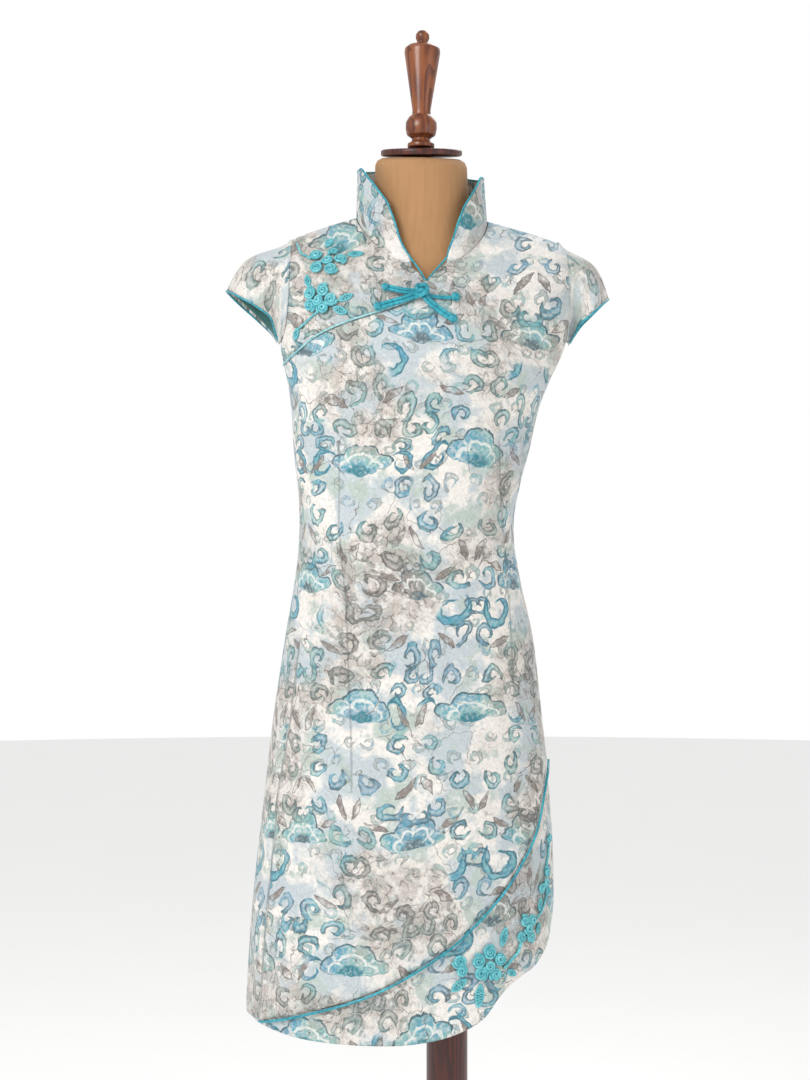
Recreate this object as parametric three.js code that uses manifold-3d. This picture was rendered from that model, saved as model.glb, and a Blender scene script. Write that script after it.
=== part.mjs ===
// A short cheongsam dress with cap sleeves, standing on a limbless dress form.
//
// Millimetres, +Z up. The origin is on the floor, at the centre of the stand's foot and on the axis
// of its pole. The front of the dress faces -Y, and "left" and "right" are as seen from the front.
//
// The cloth is worked out from one table of horizontal girths. Each row of it is a closed ring, and a
// point of the dress is given by an angle round the ring and a row number. Every panel is a thin wall
// on that surface, trimmed with prisms that follow its sewing lines, and every trim lies on it.

import * as THREE from "three";
import { mergeVertices } from "three/addons/utils/BufferGeometryUtils.js";
import Module from "manifold-3d";

const wasm = await Module();
wasm.setup();

// ---------- driving dimensions ----------

const CLOTH = 1.4; // thickness of a panel with its interfacing
const GAP = 0.4; // clearance between pieces at a seam
const LAYER = CLOTH + GAP; // depth of a layer that lies under another
const SEAM_ANGLE = THREE.MathUtils.degToRad(0.16); // half the clearance at a side seam, as an angle
const TURN = THREE.MathUtils.degToRad(5); // the form is turned a little on its pole
const PIPING_RADIUS = 1.4;
const BINDING_OUT = PIPING_RADIUS + GAP + 0.3; // from an edge to the middle of the cord that binds it
const FORM_INSET = 6.5; // how far the form stays inside the cloth

const TEAL = { color: 0x2fb6c2, roughness: 0.45, metalness: 0 };
const PRINTED = { color: 0xe6ebe8, roughness: 0.75, metalness: 0 };
const FACING = { color: 0x2a6664, roughness: 0.7, metalness: 0 };
const LINEN = { color: 0xc0966a, roughness: 0.85, metalness: 0 };
const WOOD = { color: 0x7a3a22, roughness: 0.35, metalness: 0 };

// The girths from the hem to the neck seam. side, front and back are the heights of a ring at its
// sides, centre front and centre back; x is its centre, half its half-width; ahead and behind are
// its depths from the centre line; square is the superellipse exponent; roll is how much higher its
// left side is than its middle.
const GIRTHS = [
  { side: 492, front: 492, back: 492, x: -53.5, half: 173, ahead: 125, behind: 122, square: 2.2, roll: 0 },
  { side: 600, front: 600, back: 600, x: -49.8, half: 170.7, ahead: 123, behind: 121, square: 2.2, roll: 0 },
  { side: 675, front: 675, back: 675, x: -46.6, half: 167.5, ahead: 121, behind: 120, square: 2.2, roll: 0 },
  { side: 752, front: 752, back: 752, x: -44.2, half: 160.9, ahead: 117, behind: 119, square: 2.25, roll: 0 },
  { side: 842, front: 842, back: 842, x: -44.2, half: 150.6, ahead: 112, behind: 118, square: 2.3, roll: 0 },
  { side: 932, front: 932, back: 932, x: -42.6, half: 138.9, ahead: 106, behind: 108, square: 2.3, roll: 0 },
  { side: 999, front: 999, back: 999, x: -44.2, half: 126, ahead: 97, behind: 92, square: 2.3, roll: 0 },
  { side: 1044, front: 1044, back: 1044, x: -45.4, half: 120.2, ahead: 90, behind: 84, square: 2.3, roll: 0 },
  { side: 1088, front: 1088, back: 1088, x: -44.2, half: 121.5, ahead: 92, behind: 82, square: 2.3, roll: 0 },
  { side: 1144, front: 1144, back: 1144, x: -39.8, half: 131.6, ahead: 101, behind: 88, square: 2.3, roll: 0 },
  { side: 1189, front: 1189, back: 1189, x: -36, half: 138, ahead: 108, behind: 94, square: 2.3, roll: 0 },
  { side: 1223, front: 1223, back: 1223, x: -32, half: 147, ahead: 111, behind: 98, square: 2.35, roll: 0 },
  { side: 1257, front: 1256, back: 1257, x: -27.5, half: 158, ahead: 109, behind: 102, square: 2.4, roll: 0 },
  { side: 1300, front: 1282, back: 1300, x: -24, half: 162, ahead: 104, behind: 104, square: 2.5, roll: 0.5 },
  { side: 1337, front: 1302, back: 1337, x: -24, half: 163, ahead: 98, behind: 102, square: 2.55, roll: 1 },
  { side: 1360, front: 1314, back: 1360, x: -24, half: 161, ahead: 94, behind: 98, square: 2.55, roll: 1 },
  { side: 1374, front: 1323, back: 1377, x: -24.5, half: 155, ahead: 90, behind: 92, square: 2.5, roll: 0 },
  { side: 1384.5, front: 1330, back: 1391, x: -26, half: 133, ahead: 86, behind: 84, square: 2.4, roll: 0 },
  { side: 1394, front: 1337, back: 1403, x: -28, half: 103, ahead: 80, behind: 74, square: 2.3, roll: 0.5 },
  { side: 1402.5, front: 1343, back: 1413, x: -28.5, half: 74, ahead: 74, behind: 62, square: 2.15, roll: 1 },
];
const TOP_ROW = GIRTHS.length - 1;
const SIDE_DIP = 1.5; // how quickly a ring leaves its side height towards the front and back

// Sewing lines on the front, as [x, z] seen from straight ahead.
const V_NECK = [[-44, 1400], [-43, 1346], [-36, 1333], [-30, 1321], [-26.5, 1316], [-22, 1321], [-13, 1333],
  [1, 1353], [3, 1400]];
const OPENING = [[-205, 1228], [-184, 1236], [-173, 1241], [-160, 1250], [-141, 1263], [-110, 1276],
  [-65, 1290], [-38, 1301], [-28, 1313.5]];
const OPENING_TUCK = 26; // how far the shoulder panel runs on under the opening's edge
const FRONT_HEM = [[-224, 523], [-204, 523], [-190, 527], [-146, 541], [-97, 557], [-61, 573], [-29, 591],
  [1, 611], [25, 632], [45, 652], [63, 673], [78, 696], [90, 717], [98, 740], [104, 768], [111, 800],
  [122, 836]];
const HEM_TUCK = 40; // how far the underlay runs on above the curved hem
const LOW_HEM = [[-226, 530], [-216, 521], [-190, 514.5], [-152, 509], [-105, 506.5], [-52, 506], [-10, 511],
  [22, 521], [40, 532], [54, 550], [66, 562], [80, 571], [94, 578], [105, 589], [114, 606], [121, 640],
  [140, 700]];

// The armhole is an oval in angle and rows, and a cap sleeve runs out from it to its hem.
const ARMHOLE = { row: 14.1, rows: 1.95, angle: THREE.MathUtils.degToRad(19) };
const SLEEVE_HEMS = {
  left: [[-188, -8, 1262], [-191, -25, 1276], [-196, -38, 1291], [-211, -44, 1302], [-231, -36, 1314],
    [-245.5, -8, 1323], [-244, 26, 1321], [-232, 44, 1310], [-214, 50, 1294], [-199, 42, 1279], [-191, 24, 1267]],
  right: [[137, 12, 1262], [141, -10, 1272], [148, -26, 1284], [161, -34, 1296], [173, -26, 1307],
    [181, 0, 1315], [177, 34, 1312], [168, 52, 1303], [155, 58, 1290], [146, 52, 1277], [140, 36, 1267]],
};
const SLEEVE_PUFF = 14; // how far the cap rounds up between the shoulder and its hem
const SLEEVE_SPAN = THREE.MathUtils.degToRad(24); // the sleeve starts this far up the armhole's foot

// The collar's front edges: the angle of each edge at a height between its seam, 0, and its top, 1.
const COLLAR_EDGES = [
  { rise: 0, left: 257, right: 285 },
  { rise: 0.12, left: 250, right: 288 },
  { rise: 0.22, left: 246, right: 292 },
  { rise: 0.41, left: 241, right: 298 },
  { rise: 0.6, left: 234, right: 306 },
  { rise: 0.8, left: 217, right: 321 },
  { rise: 1, left: 197, right: 336 },
];
const COLLAR_TOP = { side: 1451, front: 1442, back: 1463, x: -29.5, half: 71, ahead: 66, behind: 60, square: 2.1, roll: 4 };

// ---------- the figure's surface ----------

const lerp = THREE.MathUtils.lerp;
const clamp = THREE.MathUtils.clamp;

function catmull(before, from, to, after, t) {
  return 0.5 * (2 * from + (to - before) * t + (2 * before - 5 * from + 4 * to - after) * t * t
    + (3 * from - before - 3 * to + after) * t * t * t);
}

// A girth between the table's rows.
function girthAt(row) {
  const at = clamp(row, 0, TOP_ROW);
  const index = Math.min(Math.floor(at), TOP_ROW - 1);
  const pick = (step) => GIRTHS[clamp(index + step, 0, TOP_ROW)];
  const girth = {};
  for (const name of Object.keys(GIRTHS[0])) {
    girth[name] = catmull(pick(-1)[name], pick(0)[name], pick(1)[name], pick(2)[name], at - index);
  }
  return girth;
}

// A point of a ring: angle 0 is the right side, 90 degrees the back, 270 the front.
function ringPoint(girth, angle, dip = SIDE_DIP) {
  const power = 2 / girth.square;
  const across = Math.sign(Math.cos(angle)) * Math.abs(Math.cos(angle)) ** power;
  const along = Math.sign(Math.sin(angle)) * Math.abs(Math.sin(angle)) ** power;
  const x = girth.half * across;
  const y = along * (along < 0 ? girth.ahead : girth.behind);
  const end = along < 0 ? girth.front : girth.back;
  const z = girth.side + (end - girth.side) * Math.abs(along) ** dip - girth.roll * across;
  return new THREE.Vector3(girth.x + x * Math.cos(TURN) - y * Math.sin(TURN), x * Math.sin(TURN) + y * Math.cos(TURN), z);
}

const skin = (angle, row) => ringPoint(girthAt(row), angle);

function normalAt(angle, row) {
  const step = 0.02;
  const up = clamp(row + step, 0, TOP_ROW);
  const down = clamp(row - step, 0, TOP_ROW);
  const round = skin(angle + step, row).sub(skin(angle - step, row));
  const rise = skin(angle, up).sub(skin(angle, down));
  return round.cross(rise).normalize();
}

const raised = (angle, row, lift) => skin(angle, row).addScaledVector(normalAt(angle, row), lift);

// The point of the front that shows at [x, z] from straight ahead, raised by lift. Newton's method
// finds its angle and row.
function onFront(x, z, lift = 0) {
  let angle = 1.5 * Math.PI + Math.asin(clamp((x + 28) / 170, -0.95, 0.95));
  let row = GIRTHS.findIndex((girth) => girth.front > z || girth === GIRTHS[TOP_ROW]) - 0.5;
  const step = 0.01;
  for (let pass = 0; pass < 40; pass += 1) {
    const point = skin(angle, row);
    const round = skin(angle + step, row).sub(point).divideScalar(step);
    const rise = skin(angle, row + step).sub(point).divideScalar(step);
    const size = round.x * rise.z - round.z * rise.x;
    const [dx, dz] = [x - point.x, z - point.z];
    angle = clamp(angle + clamp((dx * rise.z - dz * rise.x) / size, -0.15, 0.15), 1.01 * Math.PI, 1.99 * Math.PI);
    row = clamp(row + clamp((round.x * dz - round.z * dx) / size, -0.5, 0.5), 0, TOP_ROW - step);
  }
  return { point: raised(angle, row, lift), normal: normalAt(angle, row) };
}

// ---------- solids ----------

function geometryFrom(points, triangles) {
  const geometry = new THREE.BufferGeometry();
  geometry.setAttribute("position", new THREE.Float32BufferAttribute(points.flatMap((p) => [p.x, p.y, p.z]), 3));
  geometry.setIndex(triangles);
  return geometry;
}

// A wall between two grids of points, closed round its four edges.
function wallBetween(outer, inner) {
  const rows = outer.length;
  const columns = outer[0].length;
  const points = [...outer.flat(), ...inner.flat()];
  const near = (row, column) => row * columns + column;
  const far = (row, column) => rows * columns + near(row, column);
  const triangles = [];
  const quad = (a, b, c, d) => triangles.push(a, b, c, a, c, d);
  for (let row = 0; row < rows - 1; row += 1) {
    for (let column = 0; column < columns - 1; column += 1) {
      quad(near(row, column), near(row, column + 1), near(row + 1, column + 1), near(row + 1, column));
      quad(far(row, column), far(row + 1, column), far(row + 1, column + 1), far(row, column + 1));
    }
    quad(near(row, 0), near(row + 1, 0), far(row + 1, 0), far(row, 0));
    quad(near(row, columns - 1), far(row, columns - 1), far(row + 1, columns - 1), near(row + 1, columns - 1));
  }
  for (let column = 0; column < columns - 1; column += 1) {
    quad(near(0, column), far(0, column), far(0, column + 1), near(0, column + 1));
    quad(near(rows - 1, column), near(rows - 1, column + 1), far(rows - 1, column + 1), far(rows - 1, column));
  }
  return facingOut(geometryFrom(points, triangles));
}

// A closed body through rings of points, with flat ends.
function loft(rings) {
  const sides = rings[0].length;
  const points = rings.flat();
  const triangles = [];
  for (let ring = 0; ring < rings.length - 1; ring += 1) {
    for (let side = 0; side < sides; side += 1) {
      const next = (side + 1) % sides;
      const [a, b] = [ring * sides + side, ring * sides + next];
      triangles.push(a, b, b + sides, a, b + sides, a + sides);
    }
  }
  for (const [ring, flip] of [[0, true], [rings.length - 1, false]]) {
    const centre = new THREE.Vector3();
    rings[ring].forEach((point) => centre.addScaledVector(point, 1 / sides));
    points.push(centre);
    for (let side = 0; side < sides; side += 1) {
      const [a, b] = [ring * sides + side, ring * sides + (side + 1) % sides];
      triangles.push(points.length - 1, flip ? b : a, flip ? a : b);
    }
  }
  return facingOut(geometryFrom(points, triangles));
}

// Turns a closed surface the right way out.
function facingOut(geometry) {
  const position = geometry.getAttribute("position");
  const index = geometry.getIndex().array;
  const corner = (n) => new THREE.Vector3().fromBufferAttribute(position, index[n]);
  let volume = 0;
  for (let n = 0; n < index.length; n += 3) {
    volume += corner(n).dot(corner(n + 1).cross(corner(n + 2)));
  }
  if (volume < 0) {
    for (let n = 0; n < index.length; n += 3) {
      [index[n], index[n + 1]] = [index[n + 1], index[n]];
    }
  }
  return geometry;
}

function toManifold(geometry) {
  const bare = geometry.clone();
  bare.deleteAttribute("normal");
  bare.deleteAttribute("uv");
  const merged = mergeVertices(bare, 1e-4);
  return new wasm.Manifold(new wasm.Mesh({
    numProp: 3,
    vertProperties: new Float32Array(merged.getAttribute("position").array),
    triVerts: new Uint32Array(merged.getIndex().array),
  }));
}

function fromManifold(solid) {
  const mesh = solid.getMesh();
  const geometry = new THREE.BufferGeometry();
  geometry.setAttribute("position", new THREE.BufferAttribute(mesh.vertProperties, 3));
  geometry.setIndex(new THREE.BufferAttribute(mesh.triVerts, 1));
  return geometry;
}

const joined = (geometries) => fromManifold(geometries.map(toManifold).reduce((sum, next) => sum.add(next)));

// A prism over an outline [x, z], running straight through the dress from front to back.
function prismAlongY(outline) {
  const shape = new THREE.Shape(outline.map(([x, z]) => new THREE.Vector2(x, z)));
  const geometry = new THREE.ExtrudeGeometry(shape, { depth: 800, bevelEnabled: false, steps: 1 });
  geometry.rotateX(Math.PI / 2);
  geometry.translate(0, 400, 0);
  return toManifold(geometry);
}

function trimmed(geometry, cutters, keep) {
  let solid = toManifold(geometry);
  if (keep) {
    solid = solid.intersect(keep);
  }
  for (const cutter of cutters) {
    solid = solid.subtract(cutter);
  }
  return fromManifold(solid);
}

// ---------- the armholes ----------

const armholeAngle = (side, phi) => (side === "left" ? Math.PI + ARMHOLE.angle * Math.sin(phi)
  : 2 * Math.PI - ARMHOLE.angle * Math.sin(phi));
const armholePoint = (side, phi) => skin(armholeAngle(side, phi), ARMHOLE.row - ARMHOLE.rows * Math.cos(phi));

// The armhole's outline carried straight out sideways, to cut the panels.
function armholeCutter(side) {
  const steps = 28;
  const outline = [];
  for (let step = 0; step < steps; step += 1) {
    const point = armholePoint(side, (step / steps) * 2 * Math.PI);
    outline.push(new THREE.Vector2(point.y, point.z));
  }
  const geometry = new THREE.ExtrudeGeometry(new THREE.Shape(outline), { depth: 200, bevelEnabled: false, steps: 1 });
  const basis = new THREE.Matrix4().makeBasis(
    new THREE.Vector3(0, 1, 0), new THREE.Vector3(0, 0, 1), new THREE.Vector3(1, 0, 0));
  geometry.applyMatrix4(basis);
  geometry.translate(side === "left" ? -24 - 290 : -24 + 90, 0, 0);
  return toManifold(geometry);
}

const armholes = ["left", "right"].map(armholeCutter);

// ---------- panels ----------

const seq = (count, from, to) => Array.from({ length: count }, (_, n) => lerp(from, to, n / (count - 1)));
const LOWER_ROWS = seq(9, 0, 8);
const UPPER_ROWS = seq(16, 9, TOP_ROW - 0.02);
const PANEL_ROWS = [...LOWER_ROWS, ...UPPER_ROWS];

function panel(fromAngle, toAngle, columns, depth, rows = PANEL_ROWS) {
  const grid = (lift) => rows.map((row) => seq(columns, fromAngle, toAngle).map((angle) => raised(angle, row, lift)));
  return wallBetween(grid(-depth), grid(-depth - CLOTH));
}

const frontAngles = [Math.PI + SEAM_ANGLE, 2 * Math.PI - SEAM_ANGLE];
const backAngles = [SEAM_ANGLE, Math.PI - SEAM_ANGLE];
const shifted = (outline, dx, dz) => outline.map(([x, z]) => [x + dx, z + dz]);

const vCut = prismAlongY(V_NECK);
const leftOfOpening = prismAlongY([...OPENING, [-27.2, 1316], [-27.2, 1440], [-230, 1440], [-230, 1228]]);
const belowFrontHem = prismAlongY([[-260, 440], [-260, 523], ...FRONT_HEM, [150, 860], [150, 440]]);
const belowLowHem = prismAlongY([[-260, 440], [-260, 536], ...LOW_HEM, [160, 720], [160, 440]]);

function frontPanel() {
  return trimmed(panel(...frontAngles, 20, 0), [vCut, leftOfOpening, belowFrontHem, ...armholes]);
}

function shoulderPanel() {
  const tucked = shifted(OPENING, 0, -OPENING_TUCK);
  const keep = prismAlongY([...tucked, [-12, 1296], [-12, 1440], [-230, 1440], [-230, 1210]]);
  const rows = seq(13, 11, TOP_ROW - 0.02);
  return trimmed(panel(frontAngles[0], 1.55 * Math.PI, 11, LAYER, rows), [vCut, armholes[0]], keep);
}

function underlayPanel() {
  const above = shifted(FRONT_HEM, 0, HEM_TUCK);
  const keep = prismAlongY([[-260, 440], [-260, 560], ...above, [150, 900], [150, 440]]);
  return trimmed(panel(...frontAngles, 20, LAYER, seq(6, 0, 4.6)), [belowLowHem], keep);
}

function backPanel() {
  const rows = [...LOWER_ROWS.filter((row) => row !== 2), ...seq(12, 9, TOP_ROW - 0.02)];
  return trimmed(panel(...backAngles, 16, 0, rows), [belowLowHem, ...armholes]);
}

// ---------- collar ----------

const COLLAR_BASE = { ...GIRTHS[TOP_ROW], half: 73, ahead: 73, behind: 61, side: 1403.9, front: 1344.6, back: 1414.6 };
const COLLAR_LIFT = 1.2; // the collar's foot stands this far above the neck seam, clear of the panels

function collarEdge(rise, name) {
  const after = COLLAR_EDGES.findIndex((edge) => edge.rise >= rise - 1e-9);
  if (after <= 0) {
    return THREE.MathUtils.degToRad(COLLAR_EDGES[0][name]);
  }
  const [low, high] = [COLLAR_EDGES[after - 1], COLLAR_EDGES[after]];
  return THREE.MathUtils.degToRad(lerp(low[name], high[name], (rise - low.rise) / (high.rise - low.rise)));
}

function collarPoint(angle, rise, inset) {
  const girth = {};
  for (const name of Object.keys(COLLAR_BASE)) {
    girth[name] = lerp(COLLAR_BASE[name], COLLAR_TOP[name], rise);
  }
  for (const name of ["half", "ahead", "behind"]) {
    girth[name] -= inset;
  }
  const point = ringPoint(girth, angle);
  point.z += COLLAR_LIFT * (1 - rise);
  return point;
}

// The collar's angle at a share of the way from its left front edge, round the back, to its right one.
const collarAngle = (share, rise) => lerp(collarEdge(rise, "left"), collarEdge(rise, "right") - 2 * Math.PI, share);

function collar() {
  const rises = COLLAR_EDGES.map((edge) => edge.rise);
  const grid = (inset) => rises.map((rise) => seq(21, 0, 1).map((share) => collarPoint(collarAngle(share, rise), rise, inset)));
  return wallBetween(grid(0), grid(CLOTH));
}

// ---------- sleeves ----------

// A point of a sleeve: phi runs round the armhole from its foot, reach from the armhole to the hem.
function sleevePoint(side, phi, reach, inset) {
  const hem = new THREE.CatmullRomCurve3(SLEEVE_HEMS[side].map((row) => new THREE.Vector3(...row)));
  const share = (phi - SLEEVE_SPAN) / (2 * Math.PI - 2 * SLEEVE_SPAN);
  const outward = side === "left" ? -1 : 1;
  const from = armholePoint(side, phi);
  const centre = armholePoint(side, 0).add(armholePoint(side, Math.PI)).multiplyScalar(0.5);
  const inward = centre.clone().sub(from);
  inward.x = 0;
  from.addScaledVector(inward.normalize(), GAP + 0.3 + inset);
  from.x += outward * (GAP + 0.2);
  const to = hem.getPoint(share);
  const hemCentre = new THREE.Vector3();
  SLEEVE_HEMS[side].forEach((row) => hemCentre.addScaledVector(new THREE.Vector3(...row), 1 / SLEEVE_HEMS[side].length));
  to.addScaledVector(hemCentre.sub(to).setX(0).normalize(), inset);
  const point = from.lerp(to, reach);
  const puff = SLEEVE_PUFF * Math.sin(Math.PI * share) * Math.sin(Math.PI * reach ** 1.4);
  return point.add(new THREE.Vector3(outward * 0.3, 0, 1).multiplyScalar(puff));
}

const sleevePhi = (share) => lerp(SLEEVE_SPAN, 2 * Math.PI - SLEEVE_SPAN, share);

// Rows of a sleeve from its seam to its hem. Its facing lies inside the middle ones.
const SLEEVE_REACHES = [0, 0.12, 0.4, 0.68, 0.96, 1];

function sleeveWall(side, reaches, inset) {
  const grid = (depth) => reaches.map((reach) =>
    seq(15, 0, 1).map((share) => sleevePoint(side, sleevePhi(share), reach, depth)));
  return wallBetween(grid(inset), grid(inset + CLOTH));
}

// ---------- cords and appliques ----------

// A round cord through points, with a straight-sided section.
function cord(points, radius, steps, sides = 6, closed = false) {
  const section = new THREE.Shape();
  for (let side = 0; side < sides; side += 1) {
    const turn = (side / sides) * 2 * Math.PI;
    const [x, y] = [radius * Math.cos(turn), radius * Math.sin(turn)];
    if (side === 0) {
      section.moveTo(x, y);
    } else {
      section.lineTo(x, y);
    }
  }
  const path = new THREE.CatmullRomCurve3(points, closed, "centripetal");
  return new THREE.ExtrudeGeometry(section, { extrudePath: path, steps, bevelEnabled: false });
}

// Points of an outline on the front, raised and moved aside from the edge they bind.
const alongFront = (outline, lift, dx = 0, dz = 0) => outline.map(([x, z]) => onFront(x + dx, z + dz, lift).point);

// A low round coil of cord, or a disc, lying on the front.
function coil(x, z, radius, height, lift) {
  const { point, normal } = onFront(x, z, lift);
  const profile = [[0, 0], [radius, 0], [radius * 0.85, height * 0.8], [0, height]];
  const geometry = new THREE.LatheGeometry(profile.map(([r, h]) => new THREE.Vector2(r, h)), 8);
  geometry.applyQuaternion(new THREE.Quaternion().setFromUnitVectors(new THREE.Vector3(0, 1, 0), normal));
  return geometry.translate(point.x, point.y, point.z);
}

// A flower: coils joined by a thin backing disc under them, as wide as they reach.
function flower(coils) {
  const [x, z] = coils[0];
  const reach = Math.max(...coils.map((place) => Math.hypot(place[0] - x, place[1] - z)));
  const solids = coils.map((place) => coil(...place, COIL_HEIGHT, COIL_LIFT - LAYER));
  return joined(reach > 0 ? [coil(x, z, reach, BACKING_HEIGHT, COIL_LIFT - LAYER), ...solids] : solids);
}

// A leaf on the front: a pointed oval along a direction given in degrees from straight right.
function leaf(x, z, length, width, degrees, lift) {
  const { point, normal } = onFront(x, z, lift);
  const shape = new THREE.Shape();
  shape.moveTo(-length / 2, 0);
  shape.quadraticCurveTo(0, -width, length / 2, 0);
  shape.quadraticCurveTo(0, width, -length / 2, 0);
  const geometry = new THREE.ExtrudeGeometry(shape, { depth: 2, bevelEnabled: false, curveSegments: 4 });
  const turn = THREE.MathUtils.degToRad(degrees);
  const along = new THREE.Vector3(Math.cos(turn), 0, Math.sin(turn));
  const side = new THREE.Vector3().crossVectors(normal, along).normalize();
  const straight = new THREE.Vector3().crossVectors(side, normal);
  geometry.applyMatrix4(new THREE.Matrix4().makeBasis(straight, side, normal));
  return geometry.translate(point.x, point.y, point.z);
}

const COIL_HEIGHT = 4;
const BACKING_HEIGHT = 1.6;
const COIL_LIFT = 1.3;
const FLOWERS = {
  shoulder_flower_upper: [[-131, 1347, 6.5], [-144.5, 1353.5, 7.5], [-142.5, 1339, 7.5],
    [-127, 1337.5, 7.5], [-117.5, 1348.5, 7.5], [-125, 1357, 6]],
  shoulder_flower_lower: [[-140, 1303, 6.5], [-150, 1311, 7.5], [-135, 1313.5, 7.5],
    [-126.5, 1303.5, 7.5], [-149.5, 1297.5, 7.5], [-135.5, 1294, 7.5]],
  hem_flower_1: [[43, 587, 7], [31, 593, 8], [44, 601.5, 8], [55, 594, 7.5], [34, 579.5, 8],
    [50, 577, 7.5]],
  hem_flower_2: [[86, 622, 6.5], [82, 631, 7], [91, 630, 6.5], [78.5, 615, 6.5], [88.5, 612.5, 7]],
  hem_flower_3: [[106, 668, 6], [108, 679, 6.5], [102, 662, 5.5], [109, 659, 5.5]],
  hem_bud_low: [[11, 594, 8], [13, 584, 7]],
  hem_bud_high: [[111, 716, 5.5]],
};

// Leaves: place, length, width and direction in degrees.
const LEAVES = {
  shoulder_leaf_1: [-130, 1370.5, 17, 9, 80],
  shoulder_leaf_2: [-101, 1356, 19, 9, 10],
  shoulder_leaf_3: [-153, 1325, 15, 8, 110],
  shoulder_leaf_4: [-117, 1291, 18, 9, -25],
  shoulder_leaf_5: [-111, 1305, 18, 8, 20],
  shoulder_leaf_6: [-166, 1268, 15, 9, 235],
  hem_leaf_1: [11, 568.5, 22, 10, 215],
  hem_leaf_2: [33, 555.5, 26, 11, 262],
  hem_leaf_3: [60, 616.5, 22, 9, 72],
  hem_leaf_4: [68.5, 577, 14, 8, -20],
  hem_leaf_5: [99, 620, 13, 7, 60],
  hem_leaf_6: [101.5, 645, 15, 7, 250],
};

// Fine stems: their points on the front, and their radius.
const STEMS = {
  shoulder_tendril: { radius: 1.2, points: [[-155, 1354], [-161, 1358], [-164, 1365]] },
  shoulder_stem: { radius: 1.2, points: [[-147, 1286], [-153, 1281], [-158, 1277]] },
  hem_stem_1: { radius: 1.8, points: [[64, 587], [69, 592], [75, 598], [77, 604]] },
  hem_stem_2: { radius: 1.2, points: [[97, 631], [103, 638], [107, 648], [108, 651]] },
  hem_stem_3: { radius: 1.2, points: [[109, 688], [111, 698], [112, 708]] },
};

// The frog: one knot and four arms, each from near the knot to its coiled end.
const FROG_KNOT = { x: -30, z: 1309, radius: 7.5 };
const FROG_ARMS = {
  frog_arm_upper_left: { radius: 3.4, end: 5.4, points: [[-46, 1309.5], [-57, 1311.5], [-68, 1314]] },
  frog_arm_lower_left: { radius: 3.8, end: 5.8, points: [[-40, 1303.5], [-58, 1297.5], [-76, 1292.5]] },
  frog_arm_upper_right: { radius: 2, end: 6, points: [[-17, 1304.5], [-6, 1303.5], [7, 1303.5]] },
  frog_arm_lower_right: { radius: 3.6, end: 6, points: [[-22, 1299], [-9, 1288], [4, 1280]] },
};

function frogArm({ radius, end, points }) {
  const places = points.map(([x, z], index) => onFront(x, z, radius + (index === 0 ? 3.2 : 1.6)).point);
  const [x, z] = points[points.length - 1];
  const ball = new THREE.SphereGeometry(end, 8, 6);
  const tip = onFront(x, z, end + 0.8).point;
  ball.translate(tip.x, tip.y, tip.z);
  return joined([cord(places, radius, 6, 6), ball]);
}

// ---------- the form and its stand ----------

const FORM_FOOT = 790; // height of the torso's flat underside
const FORM_NECK = [
  { side: 1410, front: 1370, back: 1417, x: -28.5, half: 60, ahead: 60, behind: 54, square: 2, roll: 2, dip: 1.4 },
  { side: 1424, front: 1402, back: 1430, x: -28.5, half: 54.5, ahead: 56, behind: 48, square: 2, roll: 2, dip: 1.2 },
  { side: 1446, front: 1436, back: 1451, x: -28.8, half: 52, ahead: 55, behind: 44, square: 2, roll: 1, dip: 1 },
  { side: 1462, front: 1455, back: 1467, x: -29, half: 51.4, ahead: 55.5, behind: 43, square: 2, roll: 1, dip: 1 },
  { side: 1467.5, front: 1460.5, back: 1473, x: -29, half: 49, ahead: 53, behind: 40.5, square: 2, roll: 0.7, dip: 1 },
  { side: 1470.4, front: 1464, back: 1476, x: -29, half: 44, ahead: 48, behind: 35.5, square: 2, roll: 0.5, dip: 1 },
];
const CAP = { x: -28.6, y: -6, z: 1472.6, radius: 45.4, height: 7, forward: THREE.MathUtils.degToRad(7.5) };
const FINIAL_PROFILE = [[0, 0], [15, 0], [15, 4.5], [11, 6.5], [10, 10], [16, 14], [17.4, 21], [17.2, 28], [14, 34],
  [10.5, 36.5], [10.2, 42], [20, 106], [19.4, 111], [15, 114.5], [6.5, 116.5], [6, 118.5], [7.6, 122], [7.4, 127],
  [4.5, 130.5], [0, 131.5]];
const POLE = { radius: 23, foot: 30.4 };
const BASE_PROFILE = [[0, 0], [192, 0], [195, 3], [195, 14], [188, 20], [120, 24], [60, 27], [36, 30], [0, 30]];

function formTorso() {
  const angles = seq(33, 0, 2 * Math.PI).slice(0, 32);
  const inner = (row) => {
    const girth = girthAt(row);
    const yoke = clamp((row - 12) / 3, 0, 1);
    const tight = lerp(FORM_INSET, FORM_INSET + 3, clamp((9 - row) / 3, 0, 1));
    for (const name of ["half", "ahead", "behind"]) {
      girth[name] -= tight;
    }
    for (const name of ["side", "front", "back"]) {
      girth[name] -= FORM_INSET * yoke;
    }
    return girth;
  };
  const footRow = 3 + (FORM_FOOT - GIRTHS[3].side) / (GIRTHS[4].side - GIRTHS[3].side);
  const rows = [footRow + 0.06, ...seq(5, 4, 8), ...seq(10, 9, TOP_ROW - 0.02)];
  const foot = inner(footRow);
  for (const name of ["half", "ahead", "behind"]) {
    foot[name] -= 7;
  }
  for (const name of ["side", "front", "back"]) {
    foot[name] = FORM_FOOT;
  }
  const rings = [foot, ...rows.map(inner)].map((girth) => angles.map((angle) => ringPoint(girth, angle)));
  return loft([...rings, ...FORM_NECK.map((girth) => angles.map((angle) => ringPoint(girth, angle, girth.dip)))]);
}

function turned(profile, segments) {
  const geometry = new THREE.LatheGeometry(profile.map(([r, h]) => new THREE.Vector2(r, h)), segments);
  return geometry.rotateX(Math.PI / 2);
}

// ---------- the part ----------

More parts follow.
